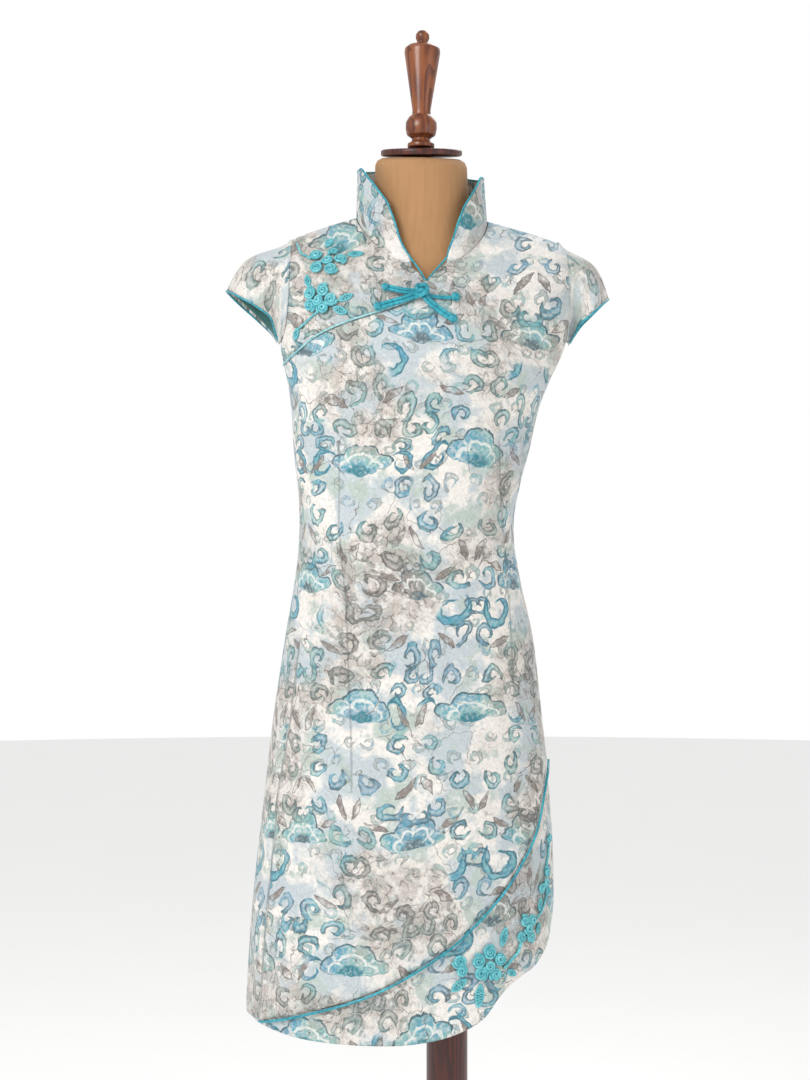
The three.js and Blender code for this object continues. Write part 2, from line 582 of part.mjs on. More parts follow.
const part = new THREE.Group();
const materials = new Map([TEAL, PRINTED, FACING, LINEN, WOOD].map((look) => [look, new THREE.MeshStandardMaterial(look)]));

function add(name, geometry, look) {
  const mesh = new THREE.Mesh(geometry, materials.get(look));
  mesh.name = name;
  part.add(mesh);
  return mesh;
}

add("front_panel", frontPanel(), PRINTED);
add("shoulder_panel", shoulderPanel(), PRINTED);
add("underlay_panel", underlayPanel(), PRINTED);
add("back_panel", backPanel(), PRINTED);
add("collar", collar(), PRINTED);

for (const side of ["left", "right"]) {
  add(`sleeve_${side}`, sleeveWall(side, SLEEVE_REACHES, 0), PRINTED);
  add(`sleeve_facing_${side}`, sleeveWall(side, SLEEVE_REACHES.slice(1, -1), LAYER + GAP), FACING);
  const hem = seq(24, 0.03, 0.97).map((share) => {
    const at = (place, reach) => sleevePoint(side, sleevePhi(place), reach, CLOTH / 2);
    const along = at(share + 0.02, 1).sub(at(share - 0.02, 1)).normalize();
    const outward = at(share, 1).sub(at(share, 0.9));
    outward.addScaledVector(along, -outward.dot(along)).normalize();
    return at(share, 1).addScaledVector(outward, BINDING_OUT);
  });
  add(`sleeve_piping_${side}`, cord(hem, PIPING_RADIUS, 24, 5), TEAL);
}

// A point beyond the collar's edge, at a share of its round and a rise, clear of the edge by the binding.
function beyondCollar(share, rise, away) {
  const step = 0.02;
  const at = (dAngle, dRise) => collarPoint(collarAngle(share, rise) + dAngle, rise + dRise, CLOTH / 2);
  const edge = (near) => collarPoint(collarAngle(share, clamp(near, 0, 1)), clamp(near, 0, 1), CLOTH / 2);
  const normal = at(step, 0).sub(at(-step, 0)).cross(at(0, step).sub(at(0, -step))).normalize();
  if (away === "up") {
    return at(0, 0).add(new THREE.Vector3(0, 0, BINDING_OUT));
  }
  const along = edge(rise + step).sub(edge(rise - step));
  const aside = along.cross(normal).normalize().multiplyScalar(away === "left" ? 1 : -1);
  return at(0, 0).addScaledVector(aside, BINDING_OUT);
}

// The collar's binding runs up one front edge from the V, round the top edge and down the other.
const edgeRises = [0.03, 0.12, 0.22, 0.32, 0.41, 0.5, 0.6, 0.7, 0.8, 0.88];
const corner = (share, away) => beyondCollar(share, 1, away).add(new THREE.Vector3(0, 0, BINDING_OUT));
const collarBinding = [
  ...alongFront([[-24.5, 1323], [-30.5, 1335]], -0.6),
  ...edgeRises.map((rise) => beyondCollar(0, rise, "left")),
  corner(0, "left"),
  ...seq(17, 0.04, 0.96).map((share) => beyondCollar(share, 1, "up")),
  corner(1, "right"),
  ...[...edgeRises].reverse().map((rise) => beyondCollar(1, rise, "right")),
  ...alongFront([[-15.5, 1334.5], [-22.8, 1324.5]], -0.6),
];
add("collar_piping", cord(collarBinding, PIPING_RADIUS, 66, 5), TEAL);
add("opening_piping", cord(alongFront(OPENING.slice(1, -1), PIPING_RADIUS - 0.2, 0.6, 2.4), PIPING_RADIUS, 18, 5), TEAL);
add("hem_piping", cord(alongFront(FRONT_HEM.slice(1, -1), PIPING_RADIUS + GAP, 0.9, -2.5), PIPING_RADIUS, 30, 5), TEAL);

const knot = onFront(FROG_KNOT.x, FROG_KNOT.z, FROG_KNOT.radius + 2).point;
add("frog_knot", new THREE.SphereGeometry(FROG_KNOT.radius, 10, 6), TEAL).position.copy(knot);
for (const [name, arm] of Object.entries(FROG_ARMS)) {
  add(name, frogArm(arm), TEAL);
}

for (const [name, coils] of Object.entries(FLOWERS)) {
  add(name, flower(coils), TEAL);
}
for (const [name, [x, z, length, width, degrees]] of Object.entries(LEAVES)) {
  add(name, leaf(x, z, length, width, degrees, COIL_LIFT - LAYER), TEAL);
}
for (const [name, { radius, points }] of Object.entries(STEMS)) {
  add(name, cord(points.map(([x, z]) => onFront(x, z, radius + 0.6 - LAYER).point), radius, 6), TEAL);
}

add("form_torso", formTorso(), LINEN);
const head = new THREE.Group();
head.position.set(CAP.x, CAP.y, CAP.z);
head.rotation.x = CAP.forward;
part.add(head);
const cap = new THREE.Mesh(turned([[0, 0], [CAP.radius - 1, 0], [CAP.radius, 1.5], [CAP.radius, CAP.height - 1.5],
  [CAP.radius - 1.5, CAP.height], [0, CAP.height]], 28), materials.get(WOOD));
cap.name = "neck_cap";
head.add(cap);
const finial = add("finial", turned(FINIAL_PROFILE, 18), WOOD);
finial.position.set(CAP.x - 0.6, CAP.y - 1, CAP.z + CAP.height + 2.3);
finial.rotation.y = THREE.MathUtils.degToRad(0.85);
const poleLength = FORM_FOOT - GAP - POLE.foot;
add("stand_pole", turned([[0, 0], [POLE.radius, 0], [POLE.radius, poleLength], [0, poleLength]], 24), WOOD)
  .position.z = POLE.foot;
add("stand_base", turned(BASE_PROFILE, 40), WOOD);

export default part;
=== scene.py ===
import math

import bmesh
import bpy
import numpy as np
from mathutils import Matrix, Vector


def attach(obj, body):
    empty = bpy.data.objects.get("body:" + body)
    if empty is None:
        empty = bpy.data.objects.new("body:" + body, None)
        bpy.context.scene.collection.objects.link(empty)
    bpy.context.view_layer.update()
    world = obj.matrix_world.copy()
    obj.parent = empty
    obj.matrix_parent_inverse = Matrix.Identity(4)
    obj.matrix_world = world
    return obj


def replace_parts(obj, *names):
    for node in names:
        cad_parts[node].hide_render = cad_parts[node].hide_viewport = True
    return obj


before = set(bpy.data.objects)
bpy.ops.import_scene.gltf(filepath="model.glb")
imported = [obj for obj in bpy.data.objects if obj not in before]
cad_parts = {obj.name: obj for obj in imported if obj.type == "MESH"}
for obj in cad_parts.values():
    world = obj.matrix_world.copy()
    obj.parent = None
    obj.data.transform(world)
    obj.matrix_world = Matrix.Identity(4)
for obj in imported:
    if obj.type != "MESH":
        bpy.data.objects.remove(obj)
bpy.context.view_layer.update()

# ---------- the room ----------
# White paper covers the floor and everything round it is white. The camera looks level at the
# waist of the dress from 2.4 m, and three soft lamps stand round it.

MM = 0.001  # lengths below are in millimetres, and become metres where a mesh is made

camera_data = bpy.data.cameras.new("camera")
camera_data.lens = 71.4
camera = bpy.data.objects.new("camera", camera_data)
camera.location = (-0.047, -2.4, 1.0438)
camera.rotation_euler = (math.pi / 2, 0, 0)
bpy.context.collection.objects.link(camera)
bpy.context.scene.camera = camera
bpy.context.scene.view_settings.view_transform = "Standard"


def lamp(name, place, aim, size, watts, colour=(1, 1, 1)):
    data = bpy.data.lights.new(name, "AREA")
    data.size, data.energy, data.color = size, watts, colour
    made = bpy.data.objects.new(name, data)
    made.location = place
    made.rotation_euler = (Vector(aim) - Vector(place)).to_track_quat("-Z", "Y").to_euler()
    bpy.context.collection.objects.link(made)


lamp("key_lamp", (-1.6, -2.2, 2.5), (0, 0, 1.0), 1.2, 46)
lamp("fill_lamp", (2.2, -1.6, 1.5), (0, 0, 1.0), 1.4, 7)
lamp("back_lamp", (0.6, 1.3, 2.6), (0, 0, 1.2), 1.0, 12)

world = bpy.data.worlds.new("studio")
world.use_nodes = True
world.node_tree.nodes["Background"].inputs["Color"].default_value = (1, 1, 1, 1)
around = world.node_tree.nodes["Background"].inputs["Strength"]
sight = world.node_tree.nodes.new("ShaderNodeLightPath").outputs["Is Camera Ray"]
softened = world.node_tree.nodes.new("ShaderNodeMapRange")  # seen white, but lighting gently
world.node_tree.links.new(sight, softened.inputs[0])
softened.inputs[3].default_value, softened.inputs[4].default_value = 0.62, 1.0
world.node_tree.links.new(softened.outputs[0], around)
bpy.context.scene.world = world


def piece_from(bm, name, material=None):
    """The object of a finished mesh, smoothly shaded."""
    mesh = bpy.data.meshes.new(name)
    bm.to_mesh(mesh)
    bm.free()
    mesh.shade_smooth()
    made = bpy.data.objects.new(name, mesh)
    bpy.context.collection.objects.link(made)
    if material:
        mesh.materials.append(material)
    return made


class Wire:
    """One value in a material: arithmetic on wires adds Math nodes to its tree."""

    def __init__(self, socket):
        self.socket, self.tree = socket, socket.id_data

    def node(self, kind, values, out=0, stops=(), **settings):
        made = self.tree.nodes.new("ShaderNode" + kind)
        for name, value in settings.items():
            setattr(made, name, value)
        for number, (place, colour) in enumerate(stops):
            ramp = made.color_ramp.elements
            (ramp[number] if number < 2 else ramp.new(place)).position = place
            ramp[number].color = colour
        for name, value in values.items():
            if isinstance(value, Wire):
                self.tree.links.new(value.socket, made.inputs[name])
            else:
                made.inputs[name].default_value = value
        return Wire(made.outputs[out])

    def math(self, operation, *others):
        return self.node("Math", dict(enumerate((self, *others))), operation=operation)

    def __add__(self, other):
        return self.math("ADD", other)

    def __sub__(self, other):
        return self.math("SUBTRACT", other)

    def __mul__(self, other):
        return self.math("MULTIPLY", other)

    def __truediv__(self, other):
        return self.math("DIVIDE", other)

    def __mod__(self, other):
        return self.math("FLOORED_MODULO", other)

    def __pow__(self, other):
        return self.math("POWER", other)

    def __abs__(self):
        return self.math("ABSOLUTE")

    def __rsub__(self, other):
        return self * -1 + other

    __radd__, __rmul__ = __add__, __mul__

    def step(self, low, high):
        """0 at low and 1 at high, eased; low may be the larger."""
        return self.node("MapRange", {0: self, 1: low, 2: high}, interpolation_type="SMOOTHSTEP")

    def between(self, first, second):
        """The first colour where this is 0, and the second where it is 1."""
        return self.node("Mix", {0: self, 6: first, 7: second}, out=2, data_type="RGBA")

    def noise(self, scale, detail=2.0, rough=0.5, out=0):
        """Cloudy noise on this vector."""
        return self.node("TexNoise", {"Vector": self, "Scale": scale, "Detail": detail,
                                      "Roughness": rough}, out=out)

    def axes(self):
        return [self.node("SeparateXYZ", {0: self}, out=n) for n in range(3)]

    def scaled(self, *factors):
        return self.node("VectorMath", {0: self, 1: factors}, operation="MULTIPLY")


def colour(code):
    """A colour from six hex digits."""
    parts = [int(code[n:n + 2], 16) / 255 for n in (0, 2, 4)]
    return (*[((p + 0.055) / 1.055) ** 2.4 if p > 0.04 else p / 12.92 for p in parts], 1)


def finish_of(name, build, uv=None):
    """A material whose Principled sockets are what build(coordinates) gives."""
    material = bpy.data.materials.new(name)
    material.use_nodes = True
    tree = material.node_tree
    shader = tree.nodes["Principled BSDF"]
    if uv:
        source = tree.nodes.new("ShaderNodeUVMap")
        source.uv_map = uv
        start = Wire(source.outputs[0])
    else:
        start = Wire(tree.nodes.new("ShaderNodeTexCoord").outputs["Object"])
    for socket, value in build(start).items():
        if isinstance(value, Wire):
            tree.links.new(value.socket, shader.inputs[socket])
        else:
            shader.inputs[socket].default_value = value
    return material


def bump(height, strength, distance):
    return height.node("Bump", {"Height": height, "Strength": strength, "Distance": distance})


floor = bmesh.new()
bmesh.ops.create_circle(floor, cap_ends=True, segments=96, radius=9)
floor_piece = piece_from(floor, "paper_floor", finish_of("paper", lambda place: {
    "Base Color": (place.noise(3.0)).between(colour("f9f9f8"), colour("fdfdfc")), "Roughness": 0.9,
    "Emission Color": (1, 1, 1, 1), "Emission Strength": 0.22}))

# ---------- the stand and the turned wood ----------
# The foot, pole, neck cap and finial are turned in beech, stained red-brown and waxed: the pole
# darker, the finial lighter where it has been handled. Each is spun from its profile.

POLE = {"radius": 23, "foot": 30.4, "top": 789.6}
FINIAL_PROFILE = [(0, 0), (15, 0), (15, 4.5), (11, 6.5), (10, 10), (16, 14), (17.4, 21), (17.2, 28),
                  (14, 34), (10.5, 36.5), (10.2, 42), (20, 106), (19.4, 111), (15, 114.5), (6.5, 116.5),
                  (6, 118.5), (7.6, 122), (7.4, 127), (4.5, 130.5), (0, 131.5)]
BASE_PROFILE = [(0, 0), (192, 0), (195, 3), (195, 14), (188, 20), (120, 24), (60, 27), (36, 30), (0, 30)]
CAP = {"place": (-28.6, -6, 1472.6), "radius": 45.4, "height": 7, "forward": math.radians(7.5)}


def wood(name, dark, light, gloss):
    def build(place):
        across = place.scaled(60, 60, 4)
        grain = across.noise(1.0, 6.0, 0.62)
        rings = (place.scaled(1, 1, 0.12).noise(22.0, 2.0) * 14 % 1).step(0.1, 0.9)
        pores = place.scaled(900, 900, 60).noise(1.0, 2.0).step(0.6, 0.72)
        tone = (grain * 0.7 + rings * 0.3).step(0.28, 0.72)
        return {"Base Color": (pores * 0.35).between(tone.between(colour(dark), colour(light)),
                                                     colour("2c0f08")),
                "Roughness": grain * 0.18 + gloss, "Coat Weight": 0.25, "Coat Roughness": 0.2,
                "Normal": bump(pores * -0.5 + grain, 0.2, 0.0004)}
    return finish_of(name, build)


finial_wood = wood("finial_wood", "5d2a16", "8f5029", 0.24)
pole_wood = wood("pole_wood", "34100a", "5b2011", 0.3)


def turned(name, profile, place, tilt, material, node):
    bm = bmesh.new()
    points = [bm.verts.new(Vector((radius, 0, height)) * MM) for radius, height in profile]
    edges = [bm.edges.new(pair) for pair in zip(points, points[1:])]
    bmesh.ops.spin(bm, geom=points + edges, axis=(0, 0, 1), steps=64, angle=math.tau, use_merge=True)
    bmesh.ops.remove_doubles(bm, verts=bm.verts, dist=1e-6)
    sharp = [e for e in bm.edges if len(e.link_faces) == 2 and e.calc_face_angle() > 0.5]
    bmesh.ops.bevel(bm, geom=sharp, offset=0.9 * MM, segments=3, profile=0.5, affect="EDGES", material=-1)
    bmesh.ops.recalc_face_normals(bm, faces=bm.faces)
    bmesh.ops.transform(bm, matrix=Matrix.Translation(Vector(place) * MM) @ tilt, verts=bm.verts)
    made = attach(piece_from(bm, name, material), "root")
    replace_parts(made, node)
    return made


upright = Matrix.Identity(4)
turned("foot", BASE_PROFILE, (0, 0, 0), upright, pole_wood, "stand_base")
turned("pole", [(0, POLE["foot"]), (POLE["radius"], POLE["foot"]), (POLE["radius"], POLE["top"]),
                (0, POLE["top"])], (0, 0, 0), upright, pole_wood, "stand_pole")
forward = Matrix.Rotation(CAP["forward"], 4, "X")
turned("cap", [(0, 0), (CAP["radius"] - 1, 0), (CAP["radius"], 1.5), (CAP["radius"], CAP["height"] - 1.5),
               (CAP["radius"] - 1.5, CAP["height"]), (0, CAP["height"])], CAP["place"], forward,
       pole_wood, "neck_cap")
cap_x, cap_y, cap_z = CAP["place"]
turned("knob", FINIAL_PROFILE, (cap_x - 0.6, cap_y - 1, cap_z + CAP["height"] + 2.3),
       Matrix.Rotation(math.radians(0.85), 4, "Y"), finial_wood, "finial")

# ---------- the form ----------
# The limbless torso is padded and covered in tan linen pulled smooth. Its rings are the dress's
# own girths drawn in, so that the cloth lies on it, and its neck rises to the cap.

# The dress's girths from hem to neck: the height of a ring at its sides, front and back; its centre;
# half its width; its depth ahead and behind; its squareness; and how much its left side stands up.
GIRTHS = np.array([
    (492, 492, 492, -53.5, 173, 125, 122, 2.2, 0), (600, 600, 600, -49.8, 170.7, 123, 121, 2.2, 0),
    (675, 675, 675, -46.6, 167.5, 121, 120, 2.2, 0), (752, 752, 752, -44.2, 160.9, 117, 119, 2.25, 0),
    (842, 842, 842, -44.2, 150.6, 112, 118, 2.3, 0), (932, 932, 932, -42.6, 138.9, 106, 108, 2.3, 0),
    (999, 999, 999, -44.2, 126, 97, 92, 2.3, 0), (1044, 1044, 1044, -45.4, 120.2, 90, 84, 2.3, 0),
    (1088, 1088, 1088, -44.2, 121.5, 92, 82, 2.3, 0), (1144, 1144, 1144, -39.8, 131.6, 101, 88, 2.3, 0),
    (1189, 1189, 1189, -36, 138, 108, 94, 2.3, 0), (1223, 1223, 1223, -32, 147, 111, 98, 2.35, 0),
    (1257, 1256, 1257, -27.5, 158, 109, 102, 2.4, 0), (1300, 1282, 1300, -24, 162, 104, 104, 2.5, 0.5),
    (1337, 1302, 1337, -24, 163, 98, 102, 2.55, 1), (1360, 1314, 1360, -24, 161, 94, 98, 2.55, 1),
    (1374, 1323, 1377, -24.5, 155, 90, 92, 2.5, 0), (1384.5, 1330, 1391, -26, 133, 86, 84, 2.4, 0),
    (1394, 1337, 1403, -28, 103, 80, 74, 2.3, 0.5), (1402.5, 1343, 1413, -28.5, 74, 74, 62, 2.15, 1)])
TOP_ROW = len(GIRTHS) - 1
TURN = math.radians(5)
FORM_INSET = 6.5
FORM_FOOT = 790
# The neck's rings, in the same columns, and how quickly each leaves its side height.
FORM_NECK = [((1410, 1370, 1417, -28.5, 60, 60, 54, 2, 2), 1.4), ((1424, 1402, 1430, -28.5, 54.5, 56, 48, 2, 2), 1.2),
             ((1446, 1436, 1451, -28.8, 52, 55, 44, 2, 1), 1), ((1462, 1455, 1467, -29, 51.4, 55.5, 43, 2, 1), 1),
             ((1467.5, 1460.5, 1473, -29, 49, 53, 40.5, 2, 0.7), 1), ((1470.4, 1464, 1476, -29, 44, 48, 35.5, 2, 0.5), 1)]


def girth_at(row):
    """Rows of GIRTHS, smoothly between them, for an array of row numbers."""
    at = np.clip(row, 0, TOP_ROW)
    index = np.minimum(at.astype(int), TOP_ROW - 1)
    t = (at - index)[:, None]
    before, start, end, after = (GIRTHS[np.clip(index + step, 0, TOP_ROW)] for step in (-1, 0, 1, 2))
    return 0.5 * (2 * start + (end - before) * t + (2 * before - 5 * start + 4 * end - after) * t ** 2
                  + (3 * start - before - 3 * end + after) * t ** 3)


def ring_point(girth, angle, dip=1.5):
    """Points of rings: angle 0 is the right side, a quarter turn the back, three quarters the front."""
    side, front, back, x, half, ahead, behind, square, roll = np.broadcast_to(girth, (len(angle), 9)).T
    across = np.sign(np.cos(angle)) * np.abs(np.cos(angle)) ** (2 / square)
    along = np.sign(np.sin(angle)) * np.abs(np.sin(angle)) ** (2 / square)
    out_x, out_y = half * across, along * np.where(along < 0, ahead, behind)
    z = side + (np.where(along < 0, front, back) - side) * np.abs(along) ** dip - roll * across
    return np.stack([x + out_x * math.cos(TURN) - out_y * math.sin(TURN),
                     out_x * math.sin(TURN) + out_y * math.cos(TURN), z], axis=1)


def skin(angle, row):
    return ring_point(girth_at(row), angle)


def normal_at(angle, row):
    around = skin(angle + 0.02, row) - skin(angle - 0.02, row)
    rise = skin(angle, np.clip(row + 0.02, 0, TOP_ROW)) - skin(angle, np.clip(row - 0.02, 0, TOP_ROW))
    out = np.cross(around, rise)
    return out / np.linalg.norm(out, axis=1)[:, None]


def grid_of(bm, columns, rows, place):
    """Adds a grid to a mesh, each point put where place(across, up), from 0 to 1, says in mm."""
    made = bmesh.ops.create_grid(bm, x_segments=columns, y_segments=rows, size=0.5)["verts"]
    share = np.array([vert.co[:2] for vert in made]) + 0.5
    for vert, point in zip(made, place(share[:, 0], share[:, 1]) * MM):
        vert.co = point
    return made


def form_rings():
    def inner(row):
        girth = girth_at(np.array([row]))[0]
        girth[4:7] -= FORM_INSET + 3 * min(max((9 - row) / 3, 0), 1)
        girth[:3] -= FORM_INSET * min(max((row - 12) / 3, 0), 1)
        return girth
    foot_row = 3 + (FORM_FOOT - GIRTHS[3][0]) / (GIRTHS[4][0] - GIRTHS[3][0])
    rings = []
    for drawn_in in (120, 40, 7):
        foot = inner(foot_row)
        foot[4:7] -= drawn_in
        foot[:3] = FORM_FOOT
        rings.append((foot, 1.5))
    rings += [(inner(row), 1.5) for row in np.linspace(foot_row + 0.06, TOP_ROW - 0.02, 60)]
    for low, high in zip(FORM_NECK, FORM_NECK[1:]):
        for share in (0, 0.34, 0.67):
            rings.append((np.array(low[0]) * (1 - share) + np.array(high[0]) * share,
                          low[1] * (1 - share) + high[1] * share))
    top = np.array(FORM_NECK[-1][0], float)
    for drawn_in in (0, 20, 40):
        last = top.copy()
        last[4:7] = np.maximum(last[4:7] - drawn_in, 2)
        rings.append((last, 1))
    return rings


def linen(place):
    weave = place.scaled(1, 1, 1)
    x, y, z = weave.axes()
    around = y.math("ARCTAN2", x + 0.0285) * 0.11
    threads = abs((around * 4200).math("SINE")) * 0.5 + abs((z * 4200).math("SINE")) * 0.5
    slub = place.scaled(260, 260, 18).noise(1.0, 3.0)
    stain = place.noise(9.0, 3.0)
    return {"Base Color": (threads * 0.35 + slub * 0.5 + stain * 0.25).step(0.15, 0.95).between(
                colour("a67a4f"), colour("bf9164")),
            "Roughness": 0.85, "Sheen Weight": 0.12, "Normal": bump(threads * 0.6 + slub, 0.3, 0.0004)}


rings = form_rings()
bm = bmesh.new()
loops = []
around = np.linspace(0, math.tau, 96, endpoint=False)
for girth, dip in rings:
    verts = [bm.verts.new(point * MM) for point in ring_point(girth, around, dip)]
    loops.append([bm.edges.new((a, b)) for a, b in zip(verts, verts[1:] + verts[:1])])
for low, high in zip(loops, loops[1:]):
    bmesh.ops.bridge_loops(bm, edges=low + high)
for loop in (loops[0], loops[-1]):
    bmesh.ops.contextual_create(bm, geom=loop)
bmesh.ops.recalc_face_normals(bm, faces=bm.faces)
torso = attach(piece_from(bm, "linen_torso", finish_of("linen", linen)), "root")
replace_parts(torso, "form_torso")

# ---------- the printed cloth ----------
# A cotton and silk jacquard, printed all over with a generic damask of scrolls, fans and leaves in
# teal, grey-green and slate on cream. The print follows the cloth, in metres across and up.

REPEAT = (0.158, 0.331)  # the damask's repeat across and up; each column is mirrored on itself
TONES = ["837a74", "8f9c94", "77b0ae", "3f9ab2", "6d94ab"]  # brown-grey, grey-green, teal, blue, slate


def damask(cloth):
    """The print's colour, and the height of the weave."""
    centred = (0.5, 0.5, 0.5)
    drift = cloth.noise(9.0, 2.0, out=1).node("VectorMath", {0: cloth.noise(9.0, 2.0, out=1), 1: centred},
                                              operation="SUBTRACT").scaled(0.050, 0.050, 0)
    shake = cloth.node("VectorMath", {0: cloth.noise(75.0, 3.0, out=1), 1: centred},
                       operation="SUBTRACT").scaled(0.009, 0.009, 0)
    drawn = cloth.node("VectorMath", {0: cloth, 1: drift}, operation="ADD")
    drawn = drawn.node("VectorMath", {0: drawn, 1: shake}, operation="ADD")
    u, v, _ = drawn.scaled(1.22, 1.22, 1.22).axes()
    main = abs((u / REPEAT[0]) % 1 - 0.5) * REPEAT[0], v % REPEAT[1]
    small = abs((u / 0.093 + 0.31) % 1 - 0.5) * 0.093, (v + 0.041) % 0.122
    fine, mottled = cloth.noise(60.0, 4.0, 0.65), cloth.noise(210.0, 4.0, 0.7)
    zone = cloth.noise(8.5, 2.0, 0.45)
    tone = zone.node("ValToRGB", {0: (zone * 0.9 + fine * 0.22).step(0.36, 0.74)}, stops=[
        (place, colour(code)) for place, code in zip((0, 0.26, 0.48, 0.72, 1), TONES)])
    sketched = zone.step(0.52, 0.40)

    def polar(x, y, cell=main):
        du, dv = cell[0] - x, cell[1] - y
        return (du * du + dv * dv) ** 0.5, dv.math("ARCTAN2", du) / math.tau

    def curl(x, y, radius, width, start, way, cell=main):
        """A leafy C that winds in from a point to a full end."""
        reach, turn = polar(x, y, cell)
        share = (turn * way + start) % 1
        swell = (share ** 0.7 * math.pi).math("SINE") * ((share * 44).math("SINE") * 0.10 + 0.95)
        return abs(reach - (1 - share * 0.62) * radius) - swell * width

    def fan(x, y, size, lobes):
        """A scalloped fan, open upwards: how far out a point is, 1 at its rim, and its ribs."""
        reach, turn = polar(x, y)
        spread = abs(turn - 0.25)
        scallop = abs((turn * math.tau * lobes).math("SINE"))
        return reach / (scallop * (0.20 * size) + 0.80 * size) + spread.step(0.20, 0.27) * 2, scallop

    def lens(x, y, length, width, turn):
        du, dv = main[0] - x, main[1] - y
        along = (du * math.cos(turn) + dv * math.sin(turn)) / length
        return abs(dv * math.cos(turn) - du * math.sin(turn)) - (1 - along * along) * width, along

    def nearest(shapes):
        first, *others = shapes
        for shape in others:
            first = first.math("MINIMUM", shape)
        return first

    # the cream ground, washed over with pale lilac-grey and green, and sketched in brown
    look = (mottled * 0.6 + fine * 0.4).step(0.3, 0.7).between(colour("e2dcd4"), colour("f8f4ee"))
    look = (cloth.noise(17.0, 4.0, 0.6).step(0.46, 0.57) * 0.9).between(look, colour("b9c5cb"))
    look = (cloth.noise(23.0, 4.0, 0.62).step(0.47, 0.38) * 0.9).between(look, colour("b6c4bb"))
    look = (sketched * fine.step(0.40, 0.56) * 0.7).between(look, colour("b5aaa1"))
    little = nearest([curl(*row, cell=small) for row in (
        (0.014, 0.022, 0.0085, 0.0026, 0.2, 1), (0.033, 0.047, 0.0090, 0.0027, 0.7, -1),
        (0.013, 0.074, 0.0085, 0.0026, 0.5, 1), (0.034, 0.101, 0.0085, 0.0026, 0.05, -1))])
    faint = (little.step(0.0003, -0.0003) * mottled.step(0.28, 0.55)) * 0.75
    look = faint.between(look, (fine.step(0.4, 0.6)).between(tone, colour("a3aaa6")))
    look = (abs(little).step(0.0007, 0.0002) * fine.step(0.42, 0.5) * 0.6).between(look, colour("5f6866"))
    hatch = ((u * 1150 + v * 900).math("SINE") * (u * 1000 - v * 1250).math("SINE"))
    look = (abs(hatch).step(0.22, 0.06) * sketched * mottled.step(0.36, 0.55) * 0.6).between(
        look, colour("756b66"))

    # large scalloped fans on the mirror lines, with ribs, pale bands and dark hearts
    for x, y, size, lobes, heart in ((0, 0.040, 0.046, 3.5, "2f7f8c"), (0.079, 0.205, 0.043, 4, "5a7078")):
        rim, rib = fan(x, y, size, lobes)
        body = rim.step(1.03, 0.97)
        look = (body * mottled.step(0.25, 0.62)).between(look, tone)
        look = (body * rib.step(0.35, 0.12) * rim.step(0.4, 0.6) * 0.7).between(look, colour("dfe3dd"))
        look = (abs(rim - 0.66).step(0.06, 0.03) * body * 0.8).between(look, colour("e6e8e2"))
        look = (rim.step(0.42, 0.30) * mottled.step(0.3, 0.5)).between(look, colour(heart))
        look = (abs(rim - 1).step(0.05, 0.015) * fine.step(0.36, 0.46)).between(look, colour("40616a"))

    # curls, in opposed pairs, shaded like a brush stroke: full at the rims and thin in the middle
    curls = nearest([curl(*row) for row in (
        (0.026, 0.104, 0.0130, 0.0046, 0.10, 1), (0.056, 0.080, 0.0125, 0.0044, 0.55, -1),
        (0.058, 0.128, 0.0132, 0.0048, 0.30, 1), (0.020, 0.152, 0.0140, 0.0040, 0.80, -1),
        (0.050, 0.262, 0.0135, 0.0048, 0.05, -1), (0.019, 0.228, 0.0145, 0.0042, 0.45, 1),
        (0.024, 0.294, 0.0130, 0.0046, 0.65, 1), (0.060, 0.018, 0.0130, 0.0046, 0.90, 1),
        (0.052, 0.312, 0.0130, 0.0044, 0.20, -1), (0.006, 0.190, 0.0120, 0.0042, 0.35, 1),
        (0.070, 0.104, 0.0115, 0.0040, 0.75, 1), (0.072, 0.250, 0.0120, 0.0042, 0.15, -1))])
    body = curls.step(0.0003, -0.0003)
    brush = curls.step(-0.0044, -0.0008)
    look = (body * (brush * 0.55 + mottled * 0.75)).between(look, tone)
    look = (body * brush * fine.step(0.43, 0.60) * 0.7).between(
        look, sketched.between(colour("245b68"), colour("5b5450")))
    look = (abs(curls).step(0.0009, 0.0003) * fine.step(0.40, 0.48) * 0.8).between(look, colour("4b5c5e"))

    # bold blue sweeps
    sweeps = nearest([curl(*row) for row in (
        (0.036, 0.186, 0.0260, 0.0066, 0.62, 1), (0.055, 0.052, 0.0190, 0.0046, 0.40, -1))])
    body = sweeps.step(0.0003, -0.0003) * zone.step(0.47, 0.53)
    look = (body * (mottled.step(0.2, 0.6) * 0.5 + 0.5)).between(
        look, fine.step(0.40, 0.60).between(colour("3d93ad"), colour("79b8bd")))
    look = (body * sweeps.step(-0.0050, -0.0010) * fine.step(0.38, 0.6)).between(look, colour("23788f"))
    look = (abs(sweeps + 0.0016).step(0.0008, 0.0002) * zone.step(0.47, 0.53) * 0.7).between(look, colour("2d4d5c"))

    # lens leaves, filled in patches and outlined
    leaves = [lens(*row) for row in (
        (0.040, 0.142, 0.0165, 0.0046, 0.4), (0.066, 0.052, 0.0150, 0.0042, 2.2),
        (0.010, 0.262, 0.0160, 0.0044, 1.2), (0.036, 0.238, 0.0150, 0.0042, 2.7),
        (0.066, 0.288, 0.0160, 0.0044, 0.9))]
    leaf = nearest([edge for edge, _ in leaves])
    look = (leaf.step(0.0003, -0.0003) * fine.step(0.35, 0.55)).between(look, colour("8a817b"))
    look = (abs(leaf).step(0.0008, 0.0003) * 0.8).between(look, colour("55504e"))

